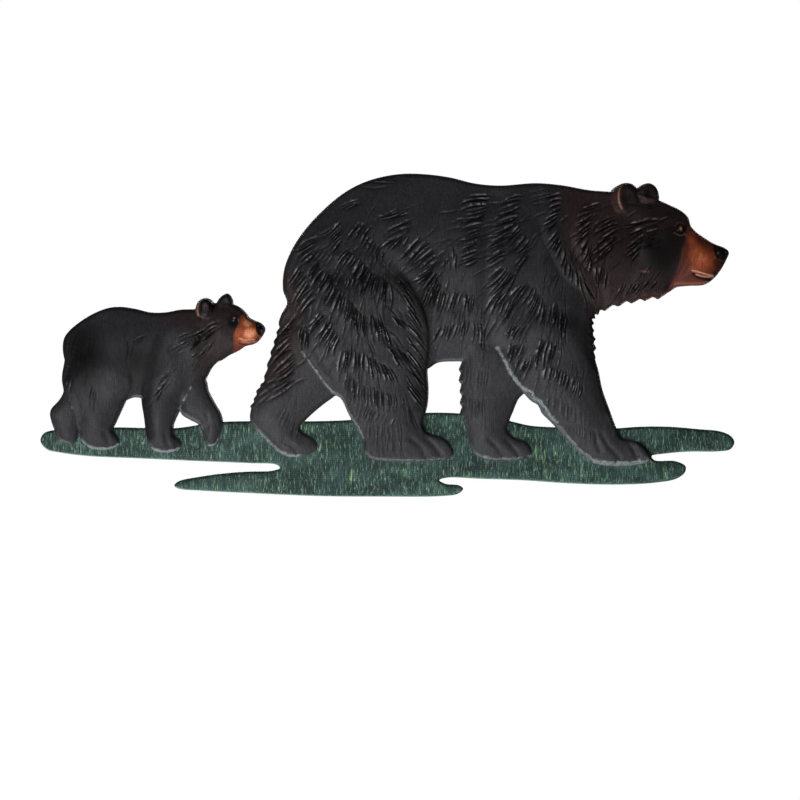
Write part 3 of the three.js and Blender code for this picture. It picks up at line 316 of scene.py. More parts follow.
# Rows of fur pressed into the relief: the line along which the strokes start, how many, the angles
# they turn through from its first point to its last, in degrees from the figure's front, their
# lengths in squares, and their depth
MOTHER_FUR = [
    ([[70, 231], [64, 218], [66, 208]], 6, [206, 218], [20, 14], 1),
    ([[92, 246], [93, 232], [91, 218]], 5, [222, 232], [15, 13], 1),
    ([[108, 242], [115, 242], [124, 236]], 5, [232, 236], [15, 15], 1),
    ([[120, 228], [127, 222], [135, 213]], 4, [240, 262], [11, 10], 1),
    ([[108, 266], [110, 261]], 2, [198, 202], [18, 15], 1),
    ([[146, 258], [164, 245], [161, 237]], 5, [200, 198], [15, 24], 1),
    ([[156, 289], [150, 285], [146, 280]], 4, [176, 180], [22, 32], 0.5),
    ([[146, 227], [153, 229], [160, 229]], 5, [212, 238], [14, 15], 1),
    ([[170, 231], [178, 224], [186, 215], [188, 206], [184, 198]], 10, [226, 216], [25, 20], 1),
    ([[182, 198], [188, 191], [191, 182]], 9, [224, 246], [17, 17], 1),
    ([[178, 180], [188, 176], [197, 174]], 8, [250, 256], [17, 16], 1),
    ([[200, 173], [210, 174], [220, 171], [228, 170]], 7, [252, 264], [20, 11], 1),
    ([[188, 138], [202, 141], [216, 146], [228, 143], [238, 140]], 11, [246, 268], [12, 19], 1),
    ([
        [241, 271], [239, 262], [238, 252], [233, 241], [230, 229], [228, 216], [229, 204],
    ], 16, [188, 204], [22, 13], 1),
    ([[203, 222], [207, 209], [195, 204]], 4, [268, 270], [10, 9], 0.8),
    ([
        [274, 271], [272, 262], [270, 253], [266, 244], [262, 235], [258, 226], [257, 216], [257, 207],
    ], 15, [198, 212], [22, 17], 1),
    ([[268, 246], [274, 235], [281, 222], [279, 208]], 8, [226, 236], [14, 24], 1),
    ([[251, 198], [260, 194], [268, 191]], 6, [222, 233], [16, 30], 1),
    ([[250, 176], [258, 171], [266, 164]], 6, [240, 245], [26, 20], 1),
    ([[270, 180], [280, 181], [288, 174], [294, 164]], 10, [232, 248], [18, 26], 1),
    ([[290, 166], [298, 162], [306, 164], [312, 154], [319, 146]], 10, [256, 270], [18, 20], 1),
    ([[262, 140], [275, 139]], 3, [240, 244], [15, 11], 1),
    ([[261, 122], [268, 121], [275, 119]], 6, [250, 252], [13, 16], 1),
    ([[268, 108], [276, 105], [284, 110]], 5, [250, 250], [9, 14], 1),
    ([[290, 127], [299, 125], [308, 125]], 8, [254, 260], [24, 20], 1),
    ([[296, 101], [308, 97], [320, 90], [333, 82]], 11, [256, 260], [13, 12], 1),
    ([
        [309, 272], [310, 262], [309, 254], [307, 246], [307, 238], [309, 232], [311, 222], [315, 212],
        [319, 202], [325, 194], [333, 184], [339, 176],
    ], 17, [188, 302], [12, 15], 1.2),
    ([
        [350, 262], [343, 252], [341, 243], [339, 234], [338, 226], [337, 219], [341, 211], [344, 201],
        [349, 190],
    ], 13, [192, 278], [14, 13], 1.2),
    ([[363, 250], [366, 243], [367, 234], [366, 226], [364, 216]], 9, [204, 226], [15, 28], 1.1),
    ([[401, 247], [396, 240], [394, 231], [391, 221], [387, 212]], 10, [196, 232], [20, 13], 1.1),
    ([[408, 245], [408, 233], [401, 219]], 8, [190, 200], [13, 10], 0.7),
    ([[371, 184], [384, 181], [395, 184], [408, 183]], 6, [248, 222], [16, 9], 1),
    ([[350, 202], [357, 192]], 3, [262, 268], [15, 13], 1),
    ([[384, 262], [396, 258], [410, 260]], 3, [186, 168], [13, 11], 0.5),
    ([[98, 217], [107, 209], [116, 202], [124, 193], [133, 189], [141, 181]], 19, [226, 270], [13, 20], 1.1),
    ([[68, 208], [72, 198], [80, 191], [86, 188]], 8, [232, 244], [14, 19], 1.1),
    ([[52, 203], [55, 192], [59, 182], [65, 173], [68, 164]], 9, [234, 232], [16, 19], 1),
    ([
        [83, 184], [91, 175], [99, 168], [106, 159], [113, 152], [122, 150], [130, 147], [137, 136],
    ], 24, [244, 288], [18, 17], 1.2),
    ([[96, 190], [108, 185], [118, 179]], 6, [262, 236], [9, 9], 1),
    ([[70, 154], [79, 147], [86, 136], [91, 127]], 9, [230, 246], [19, 19], 1.1),
    ([[53, 142], [61, 133]], 4, [262, 264], [17, 14], 1),
    ([[92, 117], [102, 117], [112, 113], [122, 108], [132, 102], [143, 96]], 16, [254, 300], [19, 14], 1.1),
    ([[136, 119], [146, 118], [154, 113]], 6, [302, 306], [21, 12], 1),
    ([[142, 150], [152, 146]], 4, [304, 308], [13, 11], 1),
    ([[99, 97], [106, 86], [116, 80], [126, 78], [136, 74], [148, 72]], 14, [262, 276], [20, 14], 0.8),
    ([[111, 60], [124, 57], [138, 52], [147, 49]], 7, [250, 246], [14, 9], 0.6),
    ([
        [148, 189], [156, 168], [158, 150], [159, 132], [158, 115], [159, 98], [156, 77],
    ], 15, [308, 306], [18, 22], 1),
    ([[45, 150], [42, 138], [40, 124], [45, 111], [47, 101], [44, 90], [46, 80]], 15, [226, 212], [18, 23], 1),
    # Finer hair on the shins
    ([[116, 50], [127, 45], [139, 42], [152, 44]], 10, [262, 276], [22, 20], 0.45),
    ([[121, 29], [134, 26], [152, 28]], 9, [264, 278], [15, 13], 0.4),
    ([[152, 72], [159, 62], [164, 50]], 7, [280, 292], [20, 18], 0.5),
    ([[208, 104], [218, 100], [229, 97], [240, 94]], 8, [258, 268], [18, 15], 0.4),
    ([[214, 74], [225, 69], [237, 66]], 7, [262, 270], [16, 14], 0.4),
    ([[298, 74], [311, 67], [326, 59]], 8, [262, 268], [17, 14], 0.5),
    ([[318, 46], [331, 40], [345, 34]], 7, [264, 270], [13, 12], 0.45),
    ([[34, 62], [42, 52], [50, 44]], 6, [246, 256], [15, 13], 0.45),
]
CUB_FUR = [
    ([[20, 116], [34, 117], [48, 112]], 5, [250, 262], [20, 18], 0.5),
    ([[77, 112], [88, 112]], 2, [264, 256], [17, 15], 0.6),
    ([[99, 117], [94, 113]], 2, [218, 212], [8, 10], 0.7),
    ([[170, 131], [168, 124], [162, 118]], 6, [206, 222], [11, 10], 1.3),
    ([[156, 124], [154, 116], [150, 109]], 6, [208, 224], [12, 11], 1.3),
    ([[142, 120], [138, 113], [134, 106]], 4, [206, 218], [10, 9], 0.9),
    ([[168, 113], [157, 104], [149, 99]], 4, [238, 224], [8, 7], 1.2),
    ([[154, 94], [152, 88]], 2, [224, 226], [8, 7], 0.7),
    ([[126, 85], [121, 74], [113, 62]], 4, [218, 240], [15, 13], 1),
    ([[24, 94], [20, 82], [26, 72]], 4, [250, 262], [13, 12], 0.8),
    ([[44, 68], [48, 60]], 2, [256, 260], [12, 9], 0.7),
    ([[28, 104], [40, 98]], 4, [262, 268], [12, 10], 0.7),
]

# Where the print changes colour, in squares. Some tints are painted light: the black tint also paints shade in
# hollows, creases and shaded sides, the pale tint partly paints light from below, and the glow, rose and bare
# tints paint highlights
TINTS = ("warm", "pale", "copper", "glow", "bare", "dark", "rose")
# groove and crowd paint shade inside the pressed grooves and where they crowd; lip paints highlights on their
# raised lips
PRINT_AND_PAINTED_LIGHT = (*TINTS, "groove", "lip", "crowd")
MOTHER_TINTS = [
    # The pale patch and spots lighten the lower body, legs, flank and parts of the back: partly a greyer print,
    # partly painted light from below and painted highlights
    patch("pale", 70, [
        [-40, -40], [420, -40], [400, 100], [330, 130], [270, 140], [250, 180], [190, 190], [150, 140],
        [100, 150], [-40, 130],
    ], 0.9),
    # Painted shade: the right sides of the near hind leg and of the near foreleg, the side of the head, and the
    # hollows beside the neck's collars
    stripe("dark", 9, [[150, 186], [166, 168], [174, 140], [176, 100], [172, 60]], 0.55),
    stripe("dark", 10, [[345, 156], [342, 125], [346, 95], [356, 60]], 0.5),
    spot("dark", 385, 222, 46, 32, 0.55), spot("dark", 304, 206, 15, 42, 0.4),
    spot("dark", 338, 210, 15, 36, 0.3),
    stripe("pale", 6, [[136, 216], [150, 204], [162, 190], [170, 172]], 0.9),
    spot("pale", 150, 156, 12, 10), spot("pale", 140, 126, 15, 8), spot("pale", 113, 89, 22, 8),
    spot("pale", 283, 128, 17, 11), spot("pale", 116, 154, 22, 14, 1.5), spot("pale", 112, 197, 15, 9, 0.5),
    spot("pale", 206, 172, 32, 26, 1.5), spot("pale", 190, 214, 30, 16, 0.5),
    spot("pale", 286, 150, 24, 26, 0.6), spot("pale", 190, 272, 110, 24, 0.4),
    spot("pale", 406, 255, 28, 10, 0.4),
    patch("warm", 30, [[316, 320], [312, 236], [330, 180], [352, 140], [500, 140], [500, 320]]),
    # Muzzle: copper print, with painted highlights in the glow spots, along the ridge and along the chin's
    # lower edge
    patch("copper", 4, [
        [437, 238], [450, 239], [463, 230], [470, 225], [484, 218], [486, 200], [470, 186], [456, 176],
        [440, 174], [428, 172], [414, 170], [419, 178], [424, 188], [427, 197], [429, 206], [431, 216],
        [435, 225],
    ]),
    spot("glow", 452, 208, 15, 13, 0.8), spot("glow", 441, 224, 6, 7, 0.4), spot("glow", 443, 198, 8, 5, 0.4),
    spot("dark", 434, 206, 7, 12, 0.45),
    stripe("glow", 1.6, [[443, 233], [451, 228.5], [462, 223]], 0.6),
    stripe("dark", 4.5, [[466, 203], [468, 197], [465, 192]], 0.6),
    spot("dark", 434, 188, 9, 5, 0.3),
    stripe("rose", 1.2, [[424, 181], [432, 182], [446, 182.3], [459, 183]], 0.2),
    # Mouth: black print, with painted highlights along the lips
    patch("dark", 1.2, [
        [440.5, 192.5], [447, 191], [456, 188], [464, 187.5], [462, 184.8], [452, 185.8], [445, 188],
    ]),
    stripe("rose", 0.8, [[441.5, 194.6], [447, 193.3], [455, 191], [462, 190]], 0.8),
    stripe("rose", 0.7, [[445, 190.8], [452, 188.9], [463, 188.8]], 0.7),
    # Nose: black print, with painted highlights on it and around the nostril
    patch("dark", 1.6, [[464, 224], [463.5, 212], [466, 206], [470, 202], [484, 202], [486, 222], [472, 226]]),
    spot("bare", 467, 212, 2.4, 5, 0.45), spot("bare", 475, 213, 2, 2.5, 0.3),
    stripe("rose", 0.9, [[466, 218.5], [470.5, 221], [476, 219], [478.8, 214.5]], 0.12),
    stripe("rose", 0.9, [[468, 206], [472.5, 204], [476.5, 206.5]], 0.1),
    # Cheek and eye: painted shade on the cheek, black print in the eye, painted highlights on the lids, a
    # painted glint and a painted reflection in the eye, and a short painted highlight with painted shade under
    # it lower on the head
    spot("dark", 409, 213, 26, 29), spot("dark", 430, 236.5, 7, 8), spot("dark", 430, 236.5, 5, 6),
    stripe("rose", 0.8, [[423.5, 232.5], [427, 230.3], [431, 229.8], [434, 231.6], [435.5, 229.5]], 0.2),
    stripe("rose", 0.7, [[424.5, 239.5], [427, 242.2], [430.5, 242.8], [433.5, 240.5]], 0.1),
    spot("rose", 430.2, 237, 1.1, 1.8, 1.1),
    stripe("rose", 0.8, [[389, 194], [397, 193.4]], 0.2),
    stripe("dark", 1.2, [[389, 191.6], [397, 191]], 0.6),
    spot("bare", 427, 235.5, 1.2, 2.4, 0.5),
    # Ears and chin fringe: painted shade in the ear hollows, copper print, and painted highlights along the ear
    # rims
    spot("dark", 379, 268, 7, 12, 0.95), spot("dark", 399, 273, 7, 6, 0.9),
    stripe("copper", 3, [[366, 279], [363, 270], [363, 260], [367, 252]], 0.35),
    stripe("rose", 0.9, [[372, 281], [368.5, 275], [368, 265], [371, 256]], 0.35),
    stripe("rose", 0.9, [[392, 279.5], [399, 282], [404, 280.5], [407.3, 276], [408, 268]], 0.4),
    stripe("copper", 2.6, [
        [350, 156], [360, 157], [368, 159], [376, 163], [386, 168], [400, 171], [414, 173], [422, 175],
    ], 0.4),
    # Pale strips beside the legs and along the soles: partly steel that the print misses beside the steps,
    # partly painted light on faces that look down and to the left
    stripe("bare", 1.9, [
        [247, 118], [253, 108], [258, 98], [264, 88], [270, 81], [276, 76], [282, 73], [284, 67], [288, 66],
        [292, 62], [297, 55], [302, 48], [307, 44],
    ], 0.85),
    stripe("bare", 1.6, [[308, 42], [320, 28], [332, 14], [345, 6]], 0.55),
    stripe("bare", 1.5, [[52, 114], [65, 97], [82, 75], [90, 69], [98, 55], [108, 39], [114, 28]], 0.6),
    stripe("bare", 2.4, [[2, 38], [12, 30], [25, 17], [36, 11], [50, 9]], 0.8),
    stripe("bare", 3, [[345, 4], [362, 2], [385, 3], [398, 6]], 0.8),
    stripe("bare", 1.8, [[116, 9], [140, 5.5], [170, 5.5], [198, 8]], 0.4),
    stripe("bare", 1.8, [[222, 13], [240, 7.5], [262, 7], [279, 10]], 0.5),
]
CUB_TINTS = [
    # Pale patch and spots: partly lighter print, partly painted light and painted highlights; the black tint
    # here paints shade on the near foreleg's left side, the lower back of the head, the rump and the belly
    patch("pale", 24, [[-20, -20], [220, -20], [220, 46], [120, 50], [-20, 46]], 0.5),
    stripe("dark", 7, [[110, 112], [103, 90], [98, 66], [97, 40], [101, 18]], 0.6),
    spot("dark", 158, 118, 14, 12, 0.5), spot("pale", 61, 68, 16, 24), spot("pale", 134, 90, 20, 30, 1.2),
    spot("pale", 82, 134, 50, 12, 0.4), spot("pale", 176, 116, 22, 15), spot("dark", 34, 100, 28, 34, 0.95),
    spot("dark", 86, 90, 24, 20, 0.45),
    patch("warm", 26, [[104, 180], [112, 134], [146, 118], [156, 70], [240, 70], [240, 180]], 0.8),
    # Muzzle, mouth and nose: copper and black print, with painted highlights on the muzzle, along the lips and
    # on the nose
    patch("copper", 2.6, [
        [190, 133], [194, 139], [198, 145], [208, 139], [222, 130], [222, 112], [206, 101], [190, 96],
        [184, 99], [185, 108], [184.5, 117], [187, 123], [189.5, 129],
    ]),
    spot("glow", 197, 121, 14, 15, 0.75), spot("glow", 201, 119, 9, 8, 1.35), spot("glow", 199, 129, 8, 7, 1.2),
    stripe("rose", 0.9, [[191, 113.6], [197, 112.2], [205, 113]], 0.6),
    stripe("rose", 0.9, [[194, 110.6], [200, 110], [206, 111]], 0.5),
    stripe("dark", 0.9, [[190, 109], [196, 107.7], [204, 108.4]], 0.6),
    stripe("dark", 0.7, [[199, 111.6], [204, 111.4], [210, 113.5]], 0.7),
    patch("dark", 1.2, [[208, 131], [207, 124], [209, 118], [220, 116], [221, 131]]),
    spot("bare", 213, 121.5, 1.5, 1.5, 0.7), spot("bare", 209.5, 126.5, 1.4, 1.8, 0.5),
    # Eye: black print, with a painted glint and painted reflections
    spot("dark", 184.5, 130.5, 5.5, 6.8, 1.2), spot("rose", 185.6, 134.2, 1, 0.9, 0.9),
    spot("bare", 184.6, 131.4, 1.4, 1.2, 0.6), spot("bare", 189.4, 133, 1, 2.6, 0.5),
    # Ears: painted shade in the hollows, and a painted highlight along the near rim
    stripe("dark", 1.6, [[151.6, 133], [152, 141], [153.5, 149.5], [158, 151.5], [161, 146], [159, 136]], 0.9),
    stripe("rose", 1, [[149.6, 137], [148.8, 141], [149, 145.5], [150.8, 150], [154, 153.3]], 0.45),
    stripe("dark", 1.3, [[171, 152], [175, 156], [180, 157], [182.5, 151]], 0.8),
    spot("dark", 163, 145, 2.5, 2.5, 0.8),
    # Pale strips beside the legs and along the soles: partly steel that the print misses beside the steps,
    # partly painted light on faces that look down and to the left
    stripe("bare", 1.3, [[142, 66], [136, 54], [128, 40], [124.5, 27]], 0.5),
    stripe("bare", 1.6, [[101, 5], [108, 2], [118, 1], [129, 4]]),
    stripe("bare", 1.6, [[32, 12], [39, 6.5], [50, 4], [62, 4.5], [69, 8]]),
    stripe("bare", 1.1, [[8, 14], [14, 9.5], [23, 9]], 0.5),
    stripe("bare", 1.2, [[158, 7], [165, 8.5], [170, 14]], 0.8),
    stripe("bare", 0.9, [[20, 55], [26, 40], [30, 24]], 0.2),
]

# Round areas of the faces that get finer triangles: middle and radius, in squares, and closeness
MOTHER_FACE = [[446, 206, 26, 1.25], [376, 267, 14, 1.25], [400, 274, 10, 1.25], [472, 210, 10, 0.9],
               [452, 189, 12, 0.7], [430, 236.5, 8.5, 0.6]]
CUB_FACE = [[200, 119, 18, 1.2], [155, 143, 11, 1.0], [177, 151, 8, 1.0], [211, 123, 7, 0.8],
            [198, 111, 8, 0.7], [185.5, 131.5, 7.5, 0.6]]

# Shape of every part's edge, in squares
CRISP_SEAM = 3
SOFT_SEAM = 30
FADE_END = 1.4  # where a part's border stops fading, as a share of the fade's reach
SOFT_OVERLAP = 3
SOFT_TIER = 14
LIP = 0.42  # height of the lip above a stroke, as a share of its depth
FAR_LIP = 0.12
UNDERCOAT = 0.5  # depth of the strokes between the rows, as a share of a row's
UNDERCOAT_SHARE = 0.6
CROWDING = 1.4  # strokes in a row, as a share of the number drawn
CROWD_PAINTED_SHADE = 3.5  # how strongly painted shade darkens the fur where grooves crowd
WELD_FUR = 0.12  # depth of the fur over the bracket, as a share of its own
WELD_REACH = 0.006
PIT_DEPTH = 1.6  # the back lies at most so many fur depths behind the face, and
PIT_GAIN = 12  # so many times the grooves' average depth
BACK_GAP = 1.2  # and then so many thicknesses of the sheet
COLLAR_SEAM = 7
COLLAR_LIP = 0.6  # share of a collar's height that is in its crisp edge
CURVE_STEP = 1.5
TUFT_STEPS = 8
TUFT_LEAN = 0.7  # where along a tuft its tip is
GRASS_LENGTH = 0.610
ROLL_STEPS = (0.14, 0.36, 0.66, 1)  # rows of points over the rolled edge, as shares of its width
SEAM_STEP = 1.5
SEAM_SIDES = (-0.6, 0.5, 1.7, 3.2)  # rows of points along every seam
MOST_TRIANGLES = 200_000
VIEW_MIDDLE = Vector((-0.0073, -0.006, -0.1779))
FLOOR_HALF = 1.6
WHITE = (1, 1, 1, 1)


def smooth(u):
    v = np.clip(u, 0, 1)
    return v * v * (3 - 2 * v)


def dome(u):
    return 1 - (1 - np.clip(u, 0, 1)) ** 2


def soft_max(a, b, reach):
    return np.maximum(a, b) + reach / 4 * np.maximum(0, 1 - np.abs(a - b) / reach) ** 2


def curve_points(points, closed, fringe=None):
    """A smooth line through the drawn points; a fringe pushes tufts of fur out of one stretch."""
    nodes = np.array(points, float)
    count = len(nodes)
    spans = count if closed else count - 1
    x, z = nodes.T
    area = np.sum(x * np.roll(z, -1) - z * np.roll(x, -1))
    turn = 1 if closed and area > 0 else -1
    line = []
    for i in range(spans):
        before, start, end, after = (nodes[(i + k) % count] for k in (-1, 0, 1, 2))
        if not closed and i == 0:
            before = 2 * start - end
        if not closed and i == spans - 1:
            after = 2 * end - start
        gaps = [math.sqrt(math.dist(a, b)) or 1 for a, b in ((before, start), (start, end), (end, after))]
        lean_in = (start - before) / gaps[0] - (end - before) / (gaps[0] + gaps[1]) + (end - start) / gaps[1]
        lean_out = (end - start) / gaps[1] - (after - start) / (gaps[1] + gaps[2]) + (after - end) / gaps[2]
        lean_in, lean_out = lean_in * gaps[1], lean_out * gaps[1]
        square = -3 * start + 3 * end - 2 * lean_in - lean_out
        cube = 2 * start - 2 * end + lean_in + lean_out
        tufts = 0
        if fringe and fringe["from"] <= i < fringe["to"]:
            tufts = fringe["tufts"] / (fringe["to"] - fringe["from"])
        steps = math.ceil(max(math.dist(start, end) / CURVE_STEP, tufts * TUFT_STEPS))
        w = (np.arange(steps) / steps)[:, None]
        spots = start + lean_in * w + square * w**2 + cube * w**3
        if tufts:
            along = lean_in + 2 * square * w + 3 * cube * w**2
            along /= np.linalg.norm(along, axis=1)[:, None]
            phase = (i - fringe["from"] + w[:, 0]) * tufts % 1
            push = np.where(phase < TUFT_LEAN, phase / TUFT_LEAN, (1 - phase) / (1 - TUFT_LEAN))
            outward = np.stack([along[:, 1], -along[:, 0]], 1) * turn
            spots = spots + outward * push[:, None] * fringe["depth"]
        line.append(spots)
    if not closed:
        line.append(nodes[-1:])
    return np.vstack(line)


class Line:
    """Distances to a line. A closed line counts as positive inside, an open one on its left."""

    def __init__(self, points, closed, fringe=None):
        self.points = curve_points(points, closed, fringe)
        self.closed = closed
        self.begins = self.points if closed else self.points[:-1]
        self.ends = np.roll(self.points, -1, axis=0) if closed else self.points[1:]
        spans = np.linalg.norm(self.ends - self.begins, axis=1)
        self.starts = np.concatenate([[0], np.cumsum(spans)])
        self.length = self.starts[-1]
        self.low, self.high = self.points.min(0), self.points.max(0)

    def nearest(self, spots):
        """Signed distances, and how far along the line each is measured, as a share."""
        x, z = spots.T
        best = np.full(len(spots), np.inf)
        side = np.ones(len(spots))
        along = np.zeros(len(spots))
        inside = np.zeros(len(spots), bool)
        for (ax, az), (bx, bz), start in zip(self.begins, self.ends, self.starts):
            dx, dz = bx - ax, bz - az
            span = dx * dx + dz * dz or 1
            ux, uz = x - ax, z - az
            u = np.clip((ux * dx + uz * dz) / span, 0, 1)
            gap = (ux - u * dx) ** 2 + (uz - u * dz) ** 2
            closer = gap < best
            best[closer] = gap[closer]
            if self.closed:
                if az != bz:
                    inside ^= ((az > z) != (bz > z)) & (ux * dz * np.sign(dz) < uz * dx * np.sign(dz))
            else:
                side[closer] = np.sign(dx * uz - dz * ux)[closer]
                along[closer] = start + u[closer] * math.sqrt(span)
        if self.closed:
            side = np.where(inside, 1, -1)
        return np.sqrt(best) * side, along / self.length

    def depth(self, spots, margin=0):
        """How deep each spot is inside a closed line; far outside its box, a quick estimate."""
        out = np.maximum(self.low - spots, spots - self.high).max(1)
        depth = -np.maximum(out, 0) - 1e-9
        near = out <= margin
        if near.any():
            depth[near] = self.nearest(spots[near])[0]
        return depth

    def at(self, shares):
        """Points at shares of the line's length."""
        points = np.vstack([self.points, self.points[:1]]) if self.closed else self.points
        where = np.asarray(shares) * self.length
        return np.stack([np.interp(where, self.starts, points[:, k]) for k in (0, 1)], 1)


def read_raster(raster, low, cell, spots):
    """The raster's values between its cells."""
    place = (spots - low) / cell
    corner = np.clip(place.astype(int), 0, np.array(raster.shape) - 2)
    u, v = np.clip(place - corner, 0, 1).T
    i, j = corner.T
    near = raster[i, j] * (1 - u) + raster[i + 1, j] * u
    return near * (1 - v) + (raster[i, j + 1] * (1 - u) + raster[i + 1, j + 1] * u) * v


def blurred(raster, reach):
    """The raster smoothed both ways, over a reach in cells."""
    half = math.ceil(2.5 * reach)
    kernel = np.exp(-0.5 * (np.arange(-half, half + 1) / reach) ** 2)
    kernel /= kernel.sum()
    for axis in (0, 1):
        raster = np.apply_along_axis(np.convolve, axis, raster, kernel, "same")
    return raster


class Dome:
    """How far one part has risen from its border to its crown, 0 to 1, without a ridge line."""

    CELL = 1.5
    SOFTNESS = 0.22  # reach of the smoothing, as a share of the crown

    def __init__(self, border, crown):
        self.low = border.low - crown
        counts = np.ceil((border.high + crown - self.low) / self.CELL).astype(int) + 1
        grid = np.stack(np.meshgrid(*(np.arange(n) for n in counts), indexing="ij"), -1)
        depth = border.depth(grid.reshape(-1, 2) * self.CELL + self.low)
        reach = max(1.0, crown * self.SOFTNESS / self.CELL)
        self.raster = blurred(dome(depth / crown).reshape(counts), reach)

    def at(self, squares):
        return read_raster(self.raster, self.low, self.CELL, squares)


class Figure:
    """One animal: its drawing at its own scale and place, and the height of its relief."""

    def __init__(self, drawing, fur, tints, scale, relief):
        self.unit = drawing["length"] * scale / drawing["squares"]
        self.relief = relief / self.unit
        self.place = np.array(drawing["place"]) * scale
        self.drawing = drawing
        self.tints = tints
        self.parts = {
            name: {**part, "border": Line(part["outline"], True, part.get("fringe"))}
            for name, part in drawing["parts"].items()
        }
        for part in self.parts.values():
            part["dome"] = Dome(Line(part["outline"], True), part["crown"])
        self.collars = [(*sizes, Line(line, False)) for *sizes, line in drawing.get("collars", [])]
        self.creases = [(*sizes, Line(line, False)) for *sizes, line in drawing["creases"]]
        self.lock_rows = [Line(line, False) for line in drawing.get("lock_rows", [])]
        self.fur = [(Line(line, False), *rest) for line, *rest in fur]
        self.fur_scale = drawing.get("fur_scale", 1)

    def squares(self, spots):
        return (spots - self.place) / self.unit

    def spots(self, squares):
        return squares * self.unit + self.place

    def inside(self, spots):
        """Distance inside the whole animal's silhouette, in squares."""
        squares = self.squares(spots)
        return np.max([part["border"].depth(squares) for part in self.parts.values()], axis=0)

    def part_height(self, part, squares):
        total = weights = 0
        for x, z, share in part["levels"]:
            weight = 1 / (((squares - [x, z]) ** 2).sum(1) + 1)
            total = total + share * weight
            weights = weights + weight
        edge = part["edge"]
        return self.relief * total / weights * (edge + (1 - edge) * part["dome"].at(squares))

    def height(self, spots):
        """Height of the relief above the grass face, in metres."""
        squares = self.squares(spots)
        height = np.zeros(len(squares))
        for name, part in self.parts.items():
            depth = part["border"].depth(squares)
            on = depth > 0
            soft = np.zeros(on.sum())
            if "fade" in part:
                fade = part["fade"]
                gap = np.hypot(*(squares[on] - [fade["x"], fade["z"]]).T)
                soft = smooth(FADE_END - gap / fade["reach"])
            seam = CRISP_SEAM + (SOFT_SEAM - CRISP_SEAM) * soft
            over = height[on] + part.get("lift", 0) * (1 - soft)
            own = soft_max(self.part_height(part, squares[on]), over, SOFT_OVERLAP)
            height[on] += (own - height[on]) * smooth(depth[on] / seam)
            if name == "near_foreleg":
                height += self.neck_height(squares, height)
        on = height > 0
        height[on] = np.maximum(0, height[on] + self.carving(squares[on]))
        return height * self.unit

    def neck_height(self, squares, below):
        total = np.zeros(len(squares))
        on = below > 0
        for rise, width, path in self.collars:
            distance = path.nearest(squares[on])[0]
            lip = COLLAR_LIP * smooth(distance / COLLAR_SEAM)
            total[on] += rise * (lip + (1 - COLLAR_LIP) * smooth(distance / width))
        return total * smooth(below / CRISP_SEAM)

    def carving(self, squares):
        total = np.zeros(len(squares))
        for x, z, wide, tall, rise in self.drawing["bumps"]:
            total += rise * np.exp(-(((squares - [x, z]) / [wide, tall]) ** 2).sum(1))
        for depth, width, path in self.creases:
            total -= depth * np.exp(-((path.nearest(squares)[0] / width) ** 2))
        for path in self.lock_rows:
            up = path.nearest(squares)[0]
            on_thigh = self.parts["near_hind_leg"]["border"].depth(squares)
            edge = smooth(up / SOFT_TIER) * smooth(on_thigh / CRISP_SEAM)
            hang = np.clip(1 - up / self.drawing["lock_length"], 0, 1)
            total += self.drawing["lock_rise"] * hang * edge * (up > 0)
        return total

    def seam_spots(self):
        """Spots along the parts' borders and the collars, on both sides of each."""
        found = []
        names = list(self.parts)
        for i, name in enumerate(names):
            border = self.parts[name]["border"]
            found.append(beside(border))
            for nearer in names[i + 1 :]:
                found[-1] = found[-1][self.parts[nearer]["border"].depth(found[-1]) < 2 * CRISP_SEAM]
        found += [beside(path) for _, _, path in self.collars]
        return self.spots(np.vstack(found))

    def tint(self, name, spots):
        """How much of one tint lies at each spot, including the tints that paint shade and highlights."""
        squares = self.squares(spots)
        total = np.zeros(len(squares))
        for tint, strength in self.tints:
            if tint == name:
                total = np.maximum(total, strength(squares))
        return total


def beside(line):
    """Spots along the line, moved off it by each of the distances to the side that counts positive."""
    spots = line.at(np.arange(0, 1, SEAM_STEP / line.length))
    reach = 0.2
    moves = np.array([[reach, 0], [0, reach]])
    lean = np.stack([line.nearest(spots + m)[0] - line.nearest(spots - m)[0] for m in moves], 1)
    lean /= np.linalg.norm(lean, axis=1)[:, None] + 1e-9
    return np.vstack([spots + lean * side for side in SEAM_SIDES])


